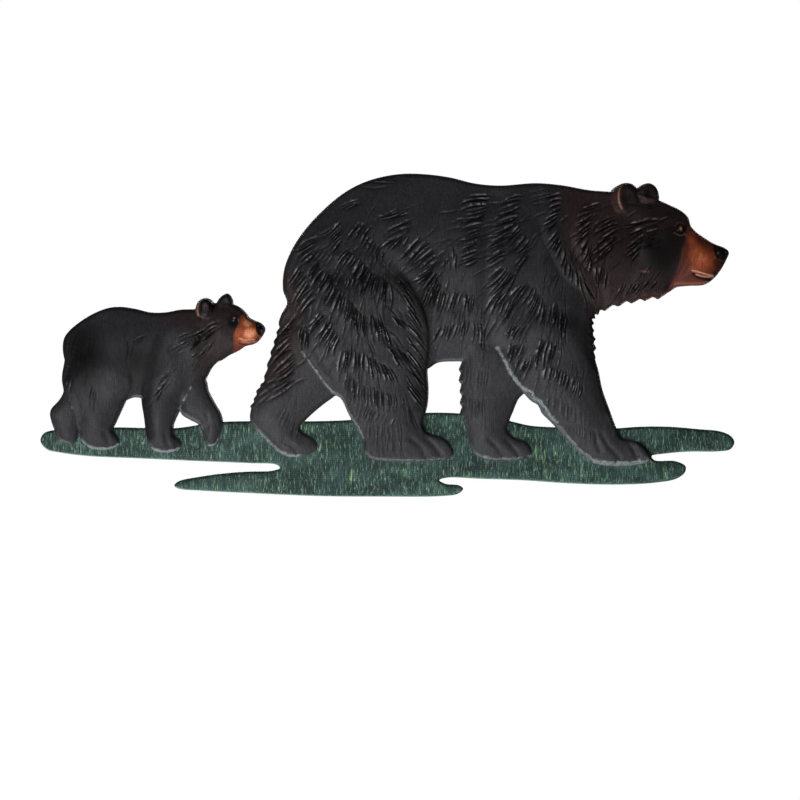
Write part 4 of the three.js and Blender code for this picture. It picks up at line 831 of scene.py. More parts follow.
class Grain:
    """Pressed fur as a fine raster of depths over the sheet, with the spots of its strokes."""

    CELL = 0.0004
    STEP = 0.0016
    CROWD_REACH = 0.0036

    def __init__(self, low, high):
        self.low = low
        self.shape = np.ceil((high - low) / self.CELL).astype(int) + 2
        self.depths = np.zeros(self.shape)
        self.spots = []

    def press(self, root, angle, length, width, depth, bend):
        """Presses one tapered groove with a raised lip on both sides."""
        along = np.array([math.cos(angle), math.sin(angle)])
        across = np.array([-along[1], along[0]])
        reach = 3 * width + abs(bend)
        ends = np.array([root, root + along * length])
        first = np.maximum(0, ((ends.min(0) - reach - self.low) / self.CELL).astype(int))
        last = np.minimum(self.shape, ((ends.max(0) + reach - self.low) / self.CELL).astype(int) + 1)
        grid = np.stack(np.meshgrid(*(np.arange(a, b) for a, b in zip(first, last)), indexing="ij"), -1)
        offset = grid * self.CELL + self.low - root
        t = offset @ along / length
        on = (t > 0) & (t < 1)
        u = (offset @ across - bend * np.sin(np.clip(t, 0, 1) * math.pi)) / width
        taper = np.where(on, np.sin(np.clip(t, 0, 1) ** 0.8 * math.pi) ** 0.5, 0)
        lips = LIP * np.exp(-((u + 1.8) ** 2) * 1.8) + FAR_LIP * np.exp(-((u - 1.8) ** 2) * 1.8)
        groove = lips - np.exp(-(u**2))
        window = self.depths[first[0] : last[0], first[1] : last[1]]
        pressed = depth * taper * groove
        window[:] = np.where(np.abs(pressed) > np.abs(window), pressed, window)
        steps = np.linspace(0.04, 0.96, max(3, round(length / self.STEP)))
        curve = root + np.outer(steps * length, along) + np.outer(bend * np.sin(steps * math.pi), across)
        self.spots += [curve + across * width * side for side in (0, -1, 1, -2, 2)]

    def sample(self, spots):
        return read_raster(self.depths, self.low, self.CELL, spots)

    def crowd(self, spots):
        """How deep the grooves around each spot are on average."""
        grooves = blurred(np.maximum(0, -self.depths), self.CROWD_REACH / self.CELL)
        return read_raster(grooves, self.low, self.CELL, spots)


def press_fur(grain, figure, sizes, random):
    """Every row of strokes of one figure, each stroke a little different."""
    for path, strokes, angles, lengths, row_depth in figure.fur:
        count = math.ceil(strokes * CROWDING)
        for k in range(2 * count):
            share = (k % count + 0.5 + random.uniform(-0.3, 0.3)) / count
            angle = math.radians(np.interp(share, [0, 1], angles) + random.uniform(-5, 5))
            length = np.interp(share, [0, 1], lengths) * random.uniform(0.95, 1.5)
            root = path.at([share])[0] + random.uniform(-1.2, 1.2, 2)
            depth = sizes.fur_depth * row_depth * figure.fur_scale * random.uniform(0.7, 1.2)
            if k >= count and random.uniform() > UNDERCOAT_SHARE:
                continue
            if k >= count:
                away = random.choice([-1, 1]) * random.uniform(0.6, 1.2) * length
                root = root + np.array([math.cos(angle), math.sin(angle)]) * away + random.uniform(-3, 3, 2)
                depth *= UNDERCOAT
                length *= 0.85
            length *= figure.unit
            width = sizes.fur_width * figure.fur_scale * random.uniform(0.8, 1.15)
            grain.press(figure.spots(root), angle, length, width, depth, random.uniform(-0.09, 0.09) * length)


def loops_around(polygons):
    """The outlines of the area that the polygons cover together, as closed rings of points."""
    spots = [Vector(p) for polygon in polygons for p in polygon]
    edges = []
    for polygon in polygons:
        first = len(edges)
        edges += [(first + k, first + (k + 1) % len(polygon)) for k in range(len(polygon))]
    made = delaunay_2d_cdt(spots, edges, [], 0, 1e-7, False)
    places, faces = np.array(made[0]), np.array(made[2])
    middles = places[faces].mean(1)
    covered = np.zeros(len(middles), bool)
    for polygon in polygons:
        covered |= in_rings(middles, [np.array(polygon)])
    following = {}
    for face in faces[covered]:
        for a, b in zip(face, np.roll(face, -1)):
            following.setdefault((a, b), None)
    border = {a: b for a, b in following if (b, a) not in following}
    rings = []
    while border:
        start, here = border.popitem()
        ring = [start]
        while here != start:
            ring.append(here)
            here = border.pop(here)
        rings.append(places[ring])
    return rings


def in_rings(spots, rings):
    """Which spots lie inside an odd number of the rings."""
    x, z = spots.T
    inside = np.zeros(len(spots), bool)
    for ring in rings:
        near = ((spots >= ring.min(0)) & (spots <= ring.max(0))).all(1)
        px, pz = x[near], z[near]
        odd = np.zeros(near.sum(), bool)
        for (ax, az), (bx, bz) in zip(ring, np.roll(ring, -1, axis=0)):
            if az != bz:
                odd ^= ((az > pz) != (bz > pz)) & (px < ax + (pz - az) / (bz - az) * (bx - ax))
        inside[near] ^= odd
    return inside


def even_steps(ring, step):
    """The ring with its points an even step apart."""
    closed = np.vstack([ring, ring[:1]])
    along = np.concatenate([[0], np.cumsum(np.linalg.norm(np.diff(closed, axis=0), axis=1))])
    count = max(8, round(along[-1] / step))
    where = np.arange(count) / count * along[-1]
    return np.stack([np.interp(where, along, closed[:, k]) for k in (0, 1)], 1)


def tree_of(spots):
    tree = KDTree(len(spots))
    for k, (x, z) in enumerate(spots):
        tree.insert((x, z, 0), k)
    tree.balance()
    return tree


def gaps_to(tree, spots):
    return np.array([tree.find((x, z, 0))[2] for x, z in spots])


def hexagons(low, high, spacing):
    """A grid of spots whose rows are set off by half a spacing."""
    row_gap = spacing * math.sqrt(0.75)
    rows = np.arange(low[1], high[1], row_gap)
    columns = np.arange(low[0], high[0], spacing)
    x, z = np.meshgrid(columns, rows)
    x = x + (np.arange(len(rows)) % 2)[:, None] * spacing / 2
    return np.stack([x.ravel(), z.ravel()], 1)


def inward(rings, distance):
    """The rings' points moved inside the sheet."""
    moved = []
    for ring in rings:
        run = np.roll(ring, -1, axis=0) - np.roll(ring, 1, axis=0)
        run /= np.linalg.norm(run, axis=1)[:, None]
        moved.append(ring + np.stack([-run[:, 1], run[:, 0]], 1) * distance)
    return np.vstack(moved)


def spread(spots, least):
    """The spots in their order, without those that share a small cell with an earlier one."""
    cells = np.round(spots / least).astype(np.int64)
    keys = cells[:, 0] * 1_000_003 + cells[:, 1]
    _, first = np.unique(keys, return_index=True)
    return spots[np.sort(first)]


def triangulate(rings, spots):
    """Triangles over the sheet. The rings' points come first, in their order."""
    points = np.vstack([*rings, spots])
    edges = []
    first = 0
    for ring in rings:
        edges += [(first + k, first + (k + 1) % len(ring)) for k in range(len(ring))]
        first += len(ring)
    made = delaunay_2d_cdt([Vector(p) for p in points], edges, [], 0, 1e-9, False)
    places, faces = np.array(made[0]), np.array(made[2])
    doubtful = (faces < first).all(1)
    keep = ~doubtful
    keep[doubtful] = in_rings(places[faces[doubtful]].mean(1), rings)
    return places, faces[keep], first


class Sheet:
    """The whole pressed sheet: outline, relief, fur, front and back."""

    def __init__(self, sizes):
        self.sizes = sizes
        random = np.random.default_rng(7)
        scale = (SHEET_BOX[1].x - SHEET_BOX[0].x) / GRASS_LENGTH
        self.figures = [
            Figure(CUB_DRAWING, CUB_FUR, CUB_TINTS, scale, sizes.cub_relief),
            Figure(MOTHER_DRAWING, MOTHER_FUR, MOTHER_TINTS, scale, sizes.mother_relief),
        ]
        polygons = [Line(GRASS_OUTLINE, True).points * (GRASS_LENGTH * scale / GRASS_SQUARES)]
        for figure in self.figures:
            polygons += [figure.spots(part["border"].points) for part in figure.parts.values()]
        self.rings = [even_steps(ring, sizes.rim_step) for ring in loops_around(polygons)]
        every = np.vstack(self.rings)
        self.low, self.high = every.min(0), every.max(0)
        self.offset = np.array([SHEET_BOX[0].x, SHEET_BOX[0].z]) - self.low
        dense = np.vstack([even_steps(ring, sizes.rim_step / 3) for ring in self.rings])
        self.rim = tree_of(dense)
        self.grain = Grain(self.low, self.high)
        for figure in self.figures:
            press_fur(self.grain, figure, sizes, random)

    def relief(self, spots):
        return np.max([figure.height(spots) for figure in self.figures], axis=0)

    def front(self, spots, inside):
        """Distance of the front face from the wall."""
        roll = np.sqrt(1 - (1 - np.clip(inside / self.sizes.edge_width, 0, 1)) ** 2)
        lip = 2 * self.sizes.thickness
        return lip + (self.sizes.standoff - lip) * roll + self.relief(spots)

    def front_spots(self):
        """Where the front's points lie: rolled edge, seams, fur, faces, then an even grid."""
        sizes = self.sizes
        rolled = []
        for share in ROLL_STEPS:
            ring = inward(self.rings, sizes.edge_width * share)
            rolled.append(ring[gaps_to(self.rim, ring) > sizes.edge_width * share * 0.9])
        seams = [figure.seam_spots() for figure in self.figures]
        fine, rest = np.zeros((0, 2)), np.vstack([*self.grain.spots, *seams])
        for figure, circles in zip(self.figures, (CUB_FACE, MOTHER_FACE)):
            for x, z, radius, closeness in circles:
                middle, reach = figure.spots(np.array([x, z])), radius * figure.unit
                grid = hexagons(middle - reach, middle + reach, sizes.face_spacing * closeness)
                grid = grid[np.hypot(*(grid - middle).T) < reach]
                fine, rest = (s[np.hypot(*(s - middle).T) > reach + sizes.least_gap / 2] for s in (fine, rest))
                fine = np.vstack([fine, grid])
        first = np.vstack([fine, spread(rest, sizes.least_gap)])
        margin = sizes.edge_width * 1.05
        first = first[in_rings(first, self.rings)]
        first = first[gaps_to(self.rim, first) > margin]
        placed = np.vstack([*rolled, first])
        known = tree_of(placed)
        bears = hexagons(self.low, self.high, sizes.bear_spacing)
        bears = bears[np.max([f.inside(bears) for f in self.figures], axis=0) > -2]
        grass = hexagons(self.low, self.high, sizes.grass_spacing)
        grass = grass[np.max([f.inside(grass) for f in self.figures], axis=0) <= -2]
        for grid, spacing in ((bears, sizes.bear_spacing), (grass, sizes.grass_spacing)):
            grid = grid[in_rings(grid, self.rings)]
            grid = grid[gaps_to(self.rim, grid) > margin]
            placed = np.vstack([placed, grid[gaps_to(known, grid) > 0.7 * spacing]])
        return placed

    def calm(self, spots):
        """The fur's share of its depth: next to none over the bracket, where the sheet is welded."""
        bracket = np.array([v.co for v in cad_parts["wall_hanger"].data.vertices])[:, [0, 2]]
        low, high = bracket.min(0) - self.offset, bracket.max(0) - self.offset
        beyond = np.maximum(0, np.maximum(low - spots, spots - high))
        return WELD_FUR + (1 - WELD_FUR) * smooth(np.linalg.norm(beyond, axis=1) / WELD_REACH)

    def back_depths(self, spots):
        """The back face lies behind the lowest of the front and its grooves, so it never breaks out."""
        cell = self.sizes.back_spacing / 2
        columns, rows = np.ceil((self.high - self.low) / cell).astype(int) + 3
        x, z = np.meshgrid(np.arange(columns) - 1, np.arange(rows) - 1, indexing="ij")
        grid = np.stack([x.ravel(), z.ravel()], 1) * cell + self.low
        inside = gaps_to(self.rim, grid) * np.where(in_rings(grid, self.rings), 1, 0)
        pits = np.minimum(PIT_DEPTH * self.sizes.fur_depth, PIT_GAIN * self.grain.crowd(grid)) * self.calm(grid)
        depths = (self.front(grid, inside) - pits).reshape(columns, rows)
        lowest = depths.copy()
        for i in (-1, 0, 1):
            for j in (-1, 0, 1):
                lowest = np.minimum(lowest, np.roll(depths, (i, j), (0, 1)))
        place = (spots - self.low) / cell + 1
        near = np.clip(np.round(place).astype(int), 0, [columns - 1, rows - 1])
        return lowest[near[:, 0], near[:, 1]] - BACK_GAP * self.sizes.thickness

    def build(self):
        """One closed mesh, with the print's tints, its painted shade and highlights, and the material of every
        face.
        """
        sizes = self.sizes
        spots, faces, rim_count = triangulate(self.rings, self.front_spots())
        inside = np.zeros(len(spots))
        inside[rim_count:] = gaps_to(self.rim, spots[rim_count:])
        fur = self.grain.sample(spots)
        pressed = fur * self.calm(spots) * smooth(inside / sizes.edge_width - 1)
        depths = self.front(spots, inside) + pressed
        rings = [inward(self.rings, sizes.edge_width * share) for share in (0.5, 1.2)]
        rings = [ring[gaps_to(self.rim, ring) > 0.4 * sizes.edge_width] for ring in rings]
        grid = hexagons(self.low, self.high, sizes.back_spacing)
        grid = grid[in_rings(grid, self.rings)]
        grid = grid[gaps_to(self.rim, grid) > 1.9 * sizes.edge_width]
        back_spots, back_faces, _ = triangulate(self.rings, spread(np.vstack([*rings, grid]), 0.001))
        back_depths = np.maximum(0, self.back_depths(back_spots))
        back_depths[:rim_count] = 0
        first = len(spots)
        places = [(spots, depths), (back_spots, back_depths)]
        corners = np.vstack([
            np.stack([s[:, 0] + self.offset[0], -d, s[:, 1] + self.offset[1]], 1) for s, d in places
        ])
        walls = []
        start = 0
        for ring in self.rings:
            here = start + np.arange(len(ring))
            after = np.roll(here, -1)
            walls += [[a, first + a, b] for a, b in zip(here, after)]
            walls += [[b, first + a, first + b] for a, b in zip(here, after)]
            start += len(ring)
        all_faces = np.vstack([faces, back_faces[:, ::-1] + first, np.array(walls)])
        middles = spots[faces].mean(1)
        on_bears = np.max([f.inside(middles) for f in self.figures], axis=0) > 0
        slots = np.concatenate([
            np.where(on_bears, 0, 1), np.full(len(back_faces), 2), np.full(len(walls), 2)
        ])
        marks = {name: np.max([figure.tint(name, spots) for figure in self.figures], axis=0) for name in TINTS}
        # Masks of painted shade inside the grooves and where they crowd, and of painted highlights on the
        # grooves' raised lips
        crowd = CROWD_PAINTED_SHADE * self.grain.crowd(spots)
        for name, relief in (("groove", -fur), ("lip", 2 * fur), ("crowd", crowd)):
            marks[name] = np.clip(relief / sizes.fur_depth, 0, 1)
        blank = np.zeros(len(back_spots))
        return corners, all_faces, slots, {name: np.concatenate([here, blank]) for name, here in marks.items()}


def mesh_object(name, corners, faces, slots, attributes):
    mesh = bpy.data.meshes.new(name)
    mesh.vertices.add(len(corners))
    mesh.vertices.foreach_set("co", corners.astype(np.float32).ravel())
    mesh.loops.add(len(faces) * 3)
    mesh.loops.foreach_set("vertex_index", faces.astype(np.int32).ravel())
    mesh.polygons.add(len(faces))
    mesh.polygons.foreach_set("loop_start", np.arange(len(faces), dtype=np.int32) * 3)
    mesh.update(calc_edges=True)
    mesh.polygons.foreach_set("material_index", slots.astype(np.int32))
    for attribute, values in attributes.items():
        layer = mesh.attributes.new(attribute, "FLOAT", "POINT")
        layer.data.foreach_set("value", values.astype(np.float32))
    mesh.shade_smooth()
    if mesh.validate():
        raise RuntimeError(f"{name} has faces that a mesh can't hold")
    return linked(name, mesh)


def linked(name, data):
    made = bpy.data.objects.new(name, data)
    bpy.context.scene.collection.objects.link(made)
    return made


class Shade:
    """A value in a node tree. Plain arithmetic on it adds Math nodes."""

    def __init__(self, nodes, socket):
        self.nodes, self.socket = nodes, socket

    def joined(self, operation, first, second):
        return self.nodes.shade("ShaderNodeMath", {"operation": operation}, {0: first, 1: second})

    def __add__(self, other):
        return self.joined("ADD", self, other)

    def __sub__(self, other):
        return self.joined("SUBTRACT", self, other)

    def __rsub__(self, other):
        return self.joined("SUBTRACT", other, self)

    def __mul__(self, other):
        return self.joined("MULTIPLY", self, other)

    __radd__, __rmul__ = __add__, __mul__


class Nodes:
    """One node tree, with short ways to add to it."""

    def __init__(self, tree):
        self.tree = tree

    def feed(self, socket, value):
        """Sets a socket to a plain value, or links it to a shade."""
        if isinstance(value, Shade):
            self.tree.links.new(value.socket, socket)
        else:
            socket.default_value = value

    def add(self, kind, settings, inputs):
        node = self.tree.nodes.new(kind)
        for key, value in settings.items():
            setattr(node, key, value)
        for key, value in inputs.items():
            self.feed(node.inputs[key], value)
        return node

    def shade(self, kind, settings, inputs, output=0):
        return Shade(self, self.add(kind, settings, inputs).outputs[output])

    def ramp(self, value, low, high, to_low=0, to_high=1):
        inputs = {"Value": value, "From Min": low, "From Max": high, "To Min": to_low, "To Max": to_high}
        return self.shade("ShaderNodeMapRange", {"interpolation_type": "SMOOTHSTEP"}, inputs)

    def mix(self, share, first, second, blend="MIX"):
        """Two colours mixed; each is another node's, or plain red, green and blue."""
        first, second = (c if isinstance(c, Shade) else (*c, 1) for c in (first, second))
        settings = {"data_type": "RGBA", "blend_type": blend}
        return self.shade("ShaderNodeMix", settings, {0: share, 6: first, 7: second}, 2)

    def dimmed(self, ink, shade):
        grey = self.shade("ShaderNodeCombineColor", {}, {key: shade for key in ("Red", "Green", "Blue")})
        return self.mix(1.0, ink, grey, "MULTIPLY")

    def place(self, output="Object"):
        return self.shade("ShaderNodeTexCoord", {}, {}, output)

    def noise(self, stretch, detail=3, roughness=0.55, distortion=0):
        """Noise in the object's own space, with so many cells to a metre each way."""
        scaled = self.shade("ShaderNodeMapping", {}, {"Vector": self.place(), "Scale": stretch})
        inputs = {"Vector": scaled, "Scale": 1, "Detail": detail, "Roughness": roughness}
        return self.shade("ShaderNodeTexNoise", {}, {**inputs, "Distortion": distortion})

    def attribute(self, name):
        return self.shade("ShaderNodeAttribute", {"attribute_name": name}, {}, "Fac")

    def group(self, build, **values):
        """A shared group with its own values here; returns its outputs by name."""
        name = build.__name__.replace("_", " ").capitalize()
        settings = {"node_tree": bpy.data.node_groups.get(name) or build(name)}
        inputs = {key.replace("_", " "): value for key, value in values.items()}
        node = self.add("ShaderNodeGroup", settings, inputs)
        return {output.name: Shade(self, output) for output in node.outputs}

    def bump(self, surface, height, distance, strength=1.0):
        inputs = {"Height": height, "Distance": distance, "Strength": strength}
        self.feed(surface["Normal"], self.shade("ShaderNodeBump", {}, inputs))


def new_group(name, inputs, outputs):
    """An empty node group: its nodes, what it is given, and the sockets that it fills."""
    tree = bpy.data.node_groups.new(name, "ShaderNodeTree")
    for socket, value in inputs.items():
        made = tree.interface.new_socket(socket, in_out="INPUT", socket_type="NodeSocketFloat")
        made.default_value = value
    for socket in outputs:
        tree.interface.new_socket(socket, in_out="OUTPUT", socket_type="NodeSocketFloat")
    nodes = Nodes(tree)
    given = tree.nodes.new("NodeGroupInput")
    given = {name: Shade(nodes, given.outputs[name]) for name in inputs}
    return nodes, given, tree.nodes.new("NodeGroupOutput").inputs


def linen_weave(name):
    """The fine woven texture of the print: level threads, fainter upright ones, and their slubs."""
    inputs = {"Threads to a metre": 560.0, "Unevenness": 1.0}
    nodes, given, out = new_group(name, inputs, ("Height", "Shade"))
    parts = nodes.add("ShaderNodeSeparateXYZ", {}, {"Vector": nodes.place()}).outputs
    threads = []
    for axis, stretch in (("Z", (90, 90, 700)), ("X", (700, 90, 90))):
        slub = nodes.noise(stretch)
        turns = Shade(nodes, parts[axis]) * given["Threads to a metre"] * (2 * math.pi)
        wander = slub * given["Unevenness"] * 6.0
        threads.append(nodes.shade("ShaderNodeMath", {"operation": "SINE"}, {0: turns + wander}) * slub)
    both = threads[0] + threads[1] * 0.6
    nodes.feed(out["Height"], both)
    nodes.feed(out["Shade"], both * 0.5 + 0.5)
    return nodes.tree


def handling_marks(name):
    """Soft smudges and fine rubbed spots, for every painted or plated face."""
    inputs = {"Smudges to a metre": 30.0, "Rubbed share": 0.3}
    nodes, given, out = new_group(name, inputs, ("Smudge", "Rub"))
    cells = {"Scale": given["Smudges to a metre"], "Detail": 5, "Roughness": 0.6}
    smudge = nodes.shade("ShaderNodeTexNoise", {}, {"Vector": nodes.place(), **cells})
    fine = nodes.noise((420, 420, 420), detail=4)
    edge = 0.72 - given["Rubbed share"] * 0.3
    nodes.feed(out["Smudge"], smudge)
    nodes.feed(out["Rub"], smudge.joined("GREATER_THAN", fine * 0.7 + smudge * 0.3, edge))
    return nodes.tree


def unprinted_edges(name):
    """Painted highlight: a ragged share of light on the steep faces that look down and to the left, towards the
    key light.
    """
    inputs = {"Steepness": 0.5, "Raggedness": 0.3}
    nodes, given, out = new_group(name, inputs, ("Share",))
    down_left = {0: nodes.place("Normal"), 1: (-0.45, 0, -0.89)}
    facing = nodes.shade("ShaderNodeVectorMath", {"operation": "DOT_PRODUCT"}, down_left, "Value")
    ragged = facing + (nodes.noise((330, 330, 330)) - 0.5) * given["Raggedness"]
    nodes.feed(out["Share"], nodes.ramp(ragged, given["Steepness"], given["Steepness"] + 0.3))
    return nodes.tree


def material(name):
    made = bpy.data.materials.new(name)
    made.use_nodes = True
    return made, Nodes(made.node_tree), made.node_tree.nodes["Principled BSDF"].inputs


def printed_steel(nodes, steepness, raggedness):
    """What both prints share: the weave's height and shade, the smudges, and the painted highlight on steep
    faces that look down and to the left.
    """
    weave = nodes.group(linen_weave, Threads_to_a_metre=540.0, Unevenness=0.8)
    marks = nodes.group(handling_marks, Smudges_to_a_metre=26.0, Rubbed_share=0.1)
    edges = nodes.group(unprinted_edges, Steepness=steepness, Raggedness=raggedness)
    return weave["Height"], weave["Shade"] * 0.28 + 0.86, marks["Smudge"], edges["Share"]


# The fur's print, with painted shade in grooves, hollows and shaded sides, and painted highlights on lips,
# rims, muzzles and eyes
def fur_print(colours):
    made, nodes, surface = material("Black fur print")
    ramp, mix, noise = nodes.ramp, nodes.mix, nodes.noise
    # edges is the painted highlight on steep faces that look down and to the left
    weave, shade, smudge, edges = printed_steel(nodes, 0.55, 0.4)
    blotch, grain = noise((38, 38, 38), detail=5), noise((900, 900, 900), detail=2)
    tears = noise((260, 260, 260))
    streaks = noise((800, 800, 110), detail=2, distortion=1.2)
    lip_highlight_gain = ramp(noise((150, 150, 150)), 0.36, 0.66, 1.6, 13)
    warm, pale, copper, glow, bare, dark, rose, groove, lip, crowd = map(nodes.attribute, PRINT_AND_PAINTED_LIGHT)
    ink = mix(ramp(blotch, 0.3, 0.7), colours.fur_dark, colours.fur_light)
    ink = mix(pale, ink, colours.fur_pale)
    ink = mix(warm, ink, colours.fur_warm)
    # The glow tint paints a highlight on the muzzles' copper, lifting the deep print tone to the lit and
    # highlight tones
    copper_highlight_share = glow + (blotch - 0.5) * 0.4
    highlit_copper = mix(ramp(copper_highlight_share, 0, 0.6), colours.copper_deep, colours.copper_mid)
    highlit_copper = mix(ramp(copper_highlight_share, 0.6, 1.4), highlit_copper, colours.copper_bright)
    on_copper = ramp(copper + (blotch - 0.5) * 0.5, 0.15, 0.85) * ramp(copper, 0, 0.2)
    ink = mix(on_copper, ink, highlit_copper)
    # The black tint: black print of noses, eyes and mouths, and painted shade in ear hollows, creases, cheeks
    # and the shaded sides of limbs
    ink = mix(ramp(dark, 0, 1) * 0.96, ink, colours.ink_black)
    # Painted highlight on steep faces that look down and to the left: grey, brownish on the warm neck and head,
    # and kept off the copper
    lit_edge_tone = mix(warm, colours.bare_steel, colours.warm_edge)
    ink = mix(edges * ramp(copper, 0, 0.3, 0.45, 0), ink, lit_edge_tone)
    # The bare tint: ragged strips of steel that the print misses, and painted highlights on noses, eyes, soles
    # and faces turned to the light
    ragged_bare_and_highlight = bare + (grain - 0.5) * 0.8 + (tears - 0.5) * 1.8
    ink = mix(ramp(ragged_bare_and_highlight, 0.25, 0.9) * ramp(bare, 0, 0.3), ink, colours.bare_steel)
    # The rose tint paints highlights along lips, eyelids, nostrils, ear rims and the chin, and glints in the
    # eyes
    ink = mix(rose, ink, colours.rose)
    # Tone over the fur: streaks of the print, painted shade where grooves crowd and inside them, and painted
    # highlights on their raised lips
    for value, low, high, to_low, to_high in (
        (streaks, 0.34, 0.68, 0.78, 1.25),
        (crowd, -0.2, 1, 1, 0.72),
        (groove, 0, 0.8, 1, 0.08),
        (lip, 0.1, 0.8, 1, lip_highlight_gain),
    ):
        shade *= ramp(value, low, high, to_low, to_high)
    nodes.feed(surface["Base Color"], nodes.dimmed(ink, shade))
    nodes.feed(surface["Roughness"], smudge * 0.12 + 0.42 + groove * 0.4 + dark * 0.25)
    surface["Specular IOR Level"].default_value = 0.08
    nodes.bump(surface, weave + grain * 0.7, 0.00004)
    return made


def grass_print(colours):
    made, nodes, surface = material("Grass print")
    ramp, mix, noise = nodes.ramp, nodes.mix, nodes.noise
    weave, shade, smudge, edges = printed_steel(nodes, 0.62, 0.3)
    patch = noise((24, 24, 60), detail=4)
    blades = noise((900, 900, 105), distortion=1.6)
    tips = noise((480, 480, 55), detail=2, distortion=1.8)
    clusters = noise((30, 30, 60), detail=2)
    ink = mix(ramp(patch, 0.35, 0.68), colours.grass_dark, colours.grass_mid)
    ink = mix(ramp(blades, 0.52, 0.72), ink, colours.grass_light)
    ink = mix(ramp(blades, 0.46, 0.36), ink, colours.grass_dark)
    ink = mix(ramp(tips, 0.61, 0.68) * ramp(clusters, 0.46, 0.62) * 0.75, ink, colours.grass_tip)
    # Painted highlight along the grass's rolled lower edges and steep faces that look down and to the left
    ink = mix(edges * 0.6, ink, colours.grass_rim)
    nodes.feed(surface["Base Color"], nodes.dimmed(ink, shade))
    nodes.feed(surface["Roughness"], smudge * 0.16 + 0.5)
    surface["Specular IOR Level"].default_value = 0.15
    nodes.bump(surface, weave, 0.00005)
    return made


def back_paint(colours):
    made, nodes, surface = material("Black back paint")
    marks = nodes.group(handling_marks, Smudges_to_a_metre=18.0, Rubbed_share=0.2)
    ink = nodes.mix(marks["Smudge"], colours.paint_black, colours.fur_light)
    ink = nodes.mix(marks["Rub"] * 0.4, ink, colours.bare_steel)
    nodes.feed(surface["Base Color"], ink)
    nodes.feed(surface["Roughness"], nodes.ramp(marks["Smudge"], 0.3, 0.7, 0.38, 0.56))
    nodes.bump(surface, nodes.noise((300, 300, 300)), 0.00008, 0.6)
    return made


def zinc_plate(colours):
    made, nodes, surface = material("Brushed zinc")
    marks = nodes.group(handling_marks, Smudges_to_a_metre=60.0, Rubbed_share=0.4)
    brushed = nodes.noise((60, 1500, 1500))
    ink = nodes.mix(marks["Smudge"], colours.zinc_dull, colours.zinc)
    nodes.feed(surface["Base Color"], nodes.mix(marks["Rub"] * 0.5, ink, colours.zinc_dull))
    surface["Metallic"].default_value = 1.0
    nodes.feed(surface["Roughness"], nodes.ramp(brushed, 0.3, 0.7, 0.3, 0.5))
    nodes.bump(surface, brushed, 0.00003)
    return made


def floor_paint(rgb):
    made, nodes, surface = material("Pale floor")
    lighter = tuple(min(1, c * 1.03) for c in rgb)
    nodes.feed(surface["Base Color"], nodes.mix(nodes.noise((6, 6, 6), detail=2), rgb, lighter))
    surface["Roughness"].default_value = 0.8
    return made


def length(name, description, default):
    return bpy.props.FloatProperty(name=name, description=description, default=default, min=0,
                                   precision=5, unit="LENGTH", subtype="DISTANCE")


def power(name, description, default):
    return bpy.props.FloatProperty(name=name, description=description, default=default, min=0, unit="POWER")


def tone(name, description, default):
    return bpy.props.FloatVectorProperty(name=name, description=description, default=default, size=3,
                                         min=0, max=1, subtype="COLOR")


class SheetSizes(bpy.types.PropertyGroup):
    standoff: length("Standoff", "From the wall to the face of the grass", 0.006)
    thickness: length("Thickness", "Thickness of the sheet", 0.0009)
    edge_width: length("Edge width", "Width of the rolled edge, seen from the front", 0.003)
    mother_relief: length("Mother's relief", "How far the mother stands out of the grass", 0.022)
    cub_relief: length("Cub's relief", "How far the cub stands out of the grass", 0.013)
    fur_depth: length("Fur depth", "Depth of the pressed strokes of fur", 0.0013)
    fur_width: length("Fur width", "Half the width of a stroke's groove", 0.00062)
    rim_step: length("Rim step", "Distance between points along the outline", 0.0012)
    bear_spacing: length("Bear spacing", "Distance between points on the bears", 0.0019)
    grass_spacing: length("Grass spacing", "Distance between points on the grass", 0.0032)
    face_spacing: length("Face spacing", "Distance between points on the faces", 0.0008)
    back_spacing: length("Back spacing", "Distance between points on the back", 0.0046)
    least_gap: length("Least gap", "Points closer than this are left out", 0.0006)


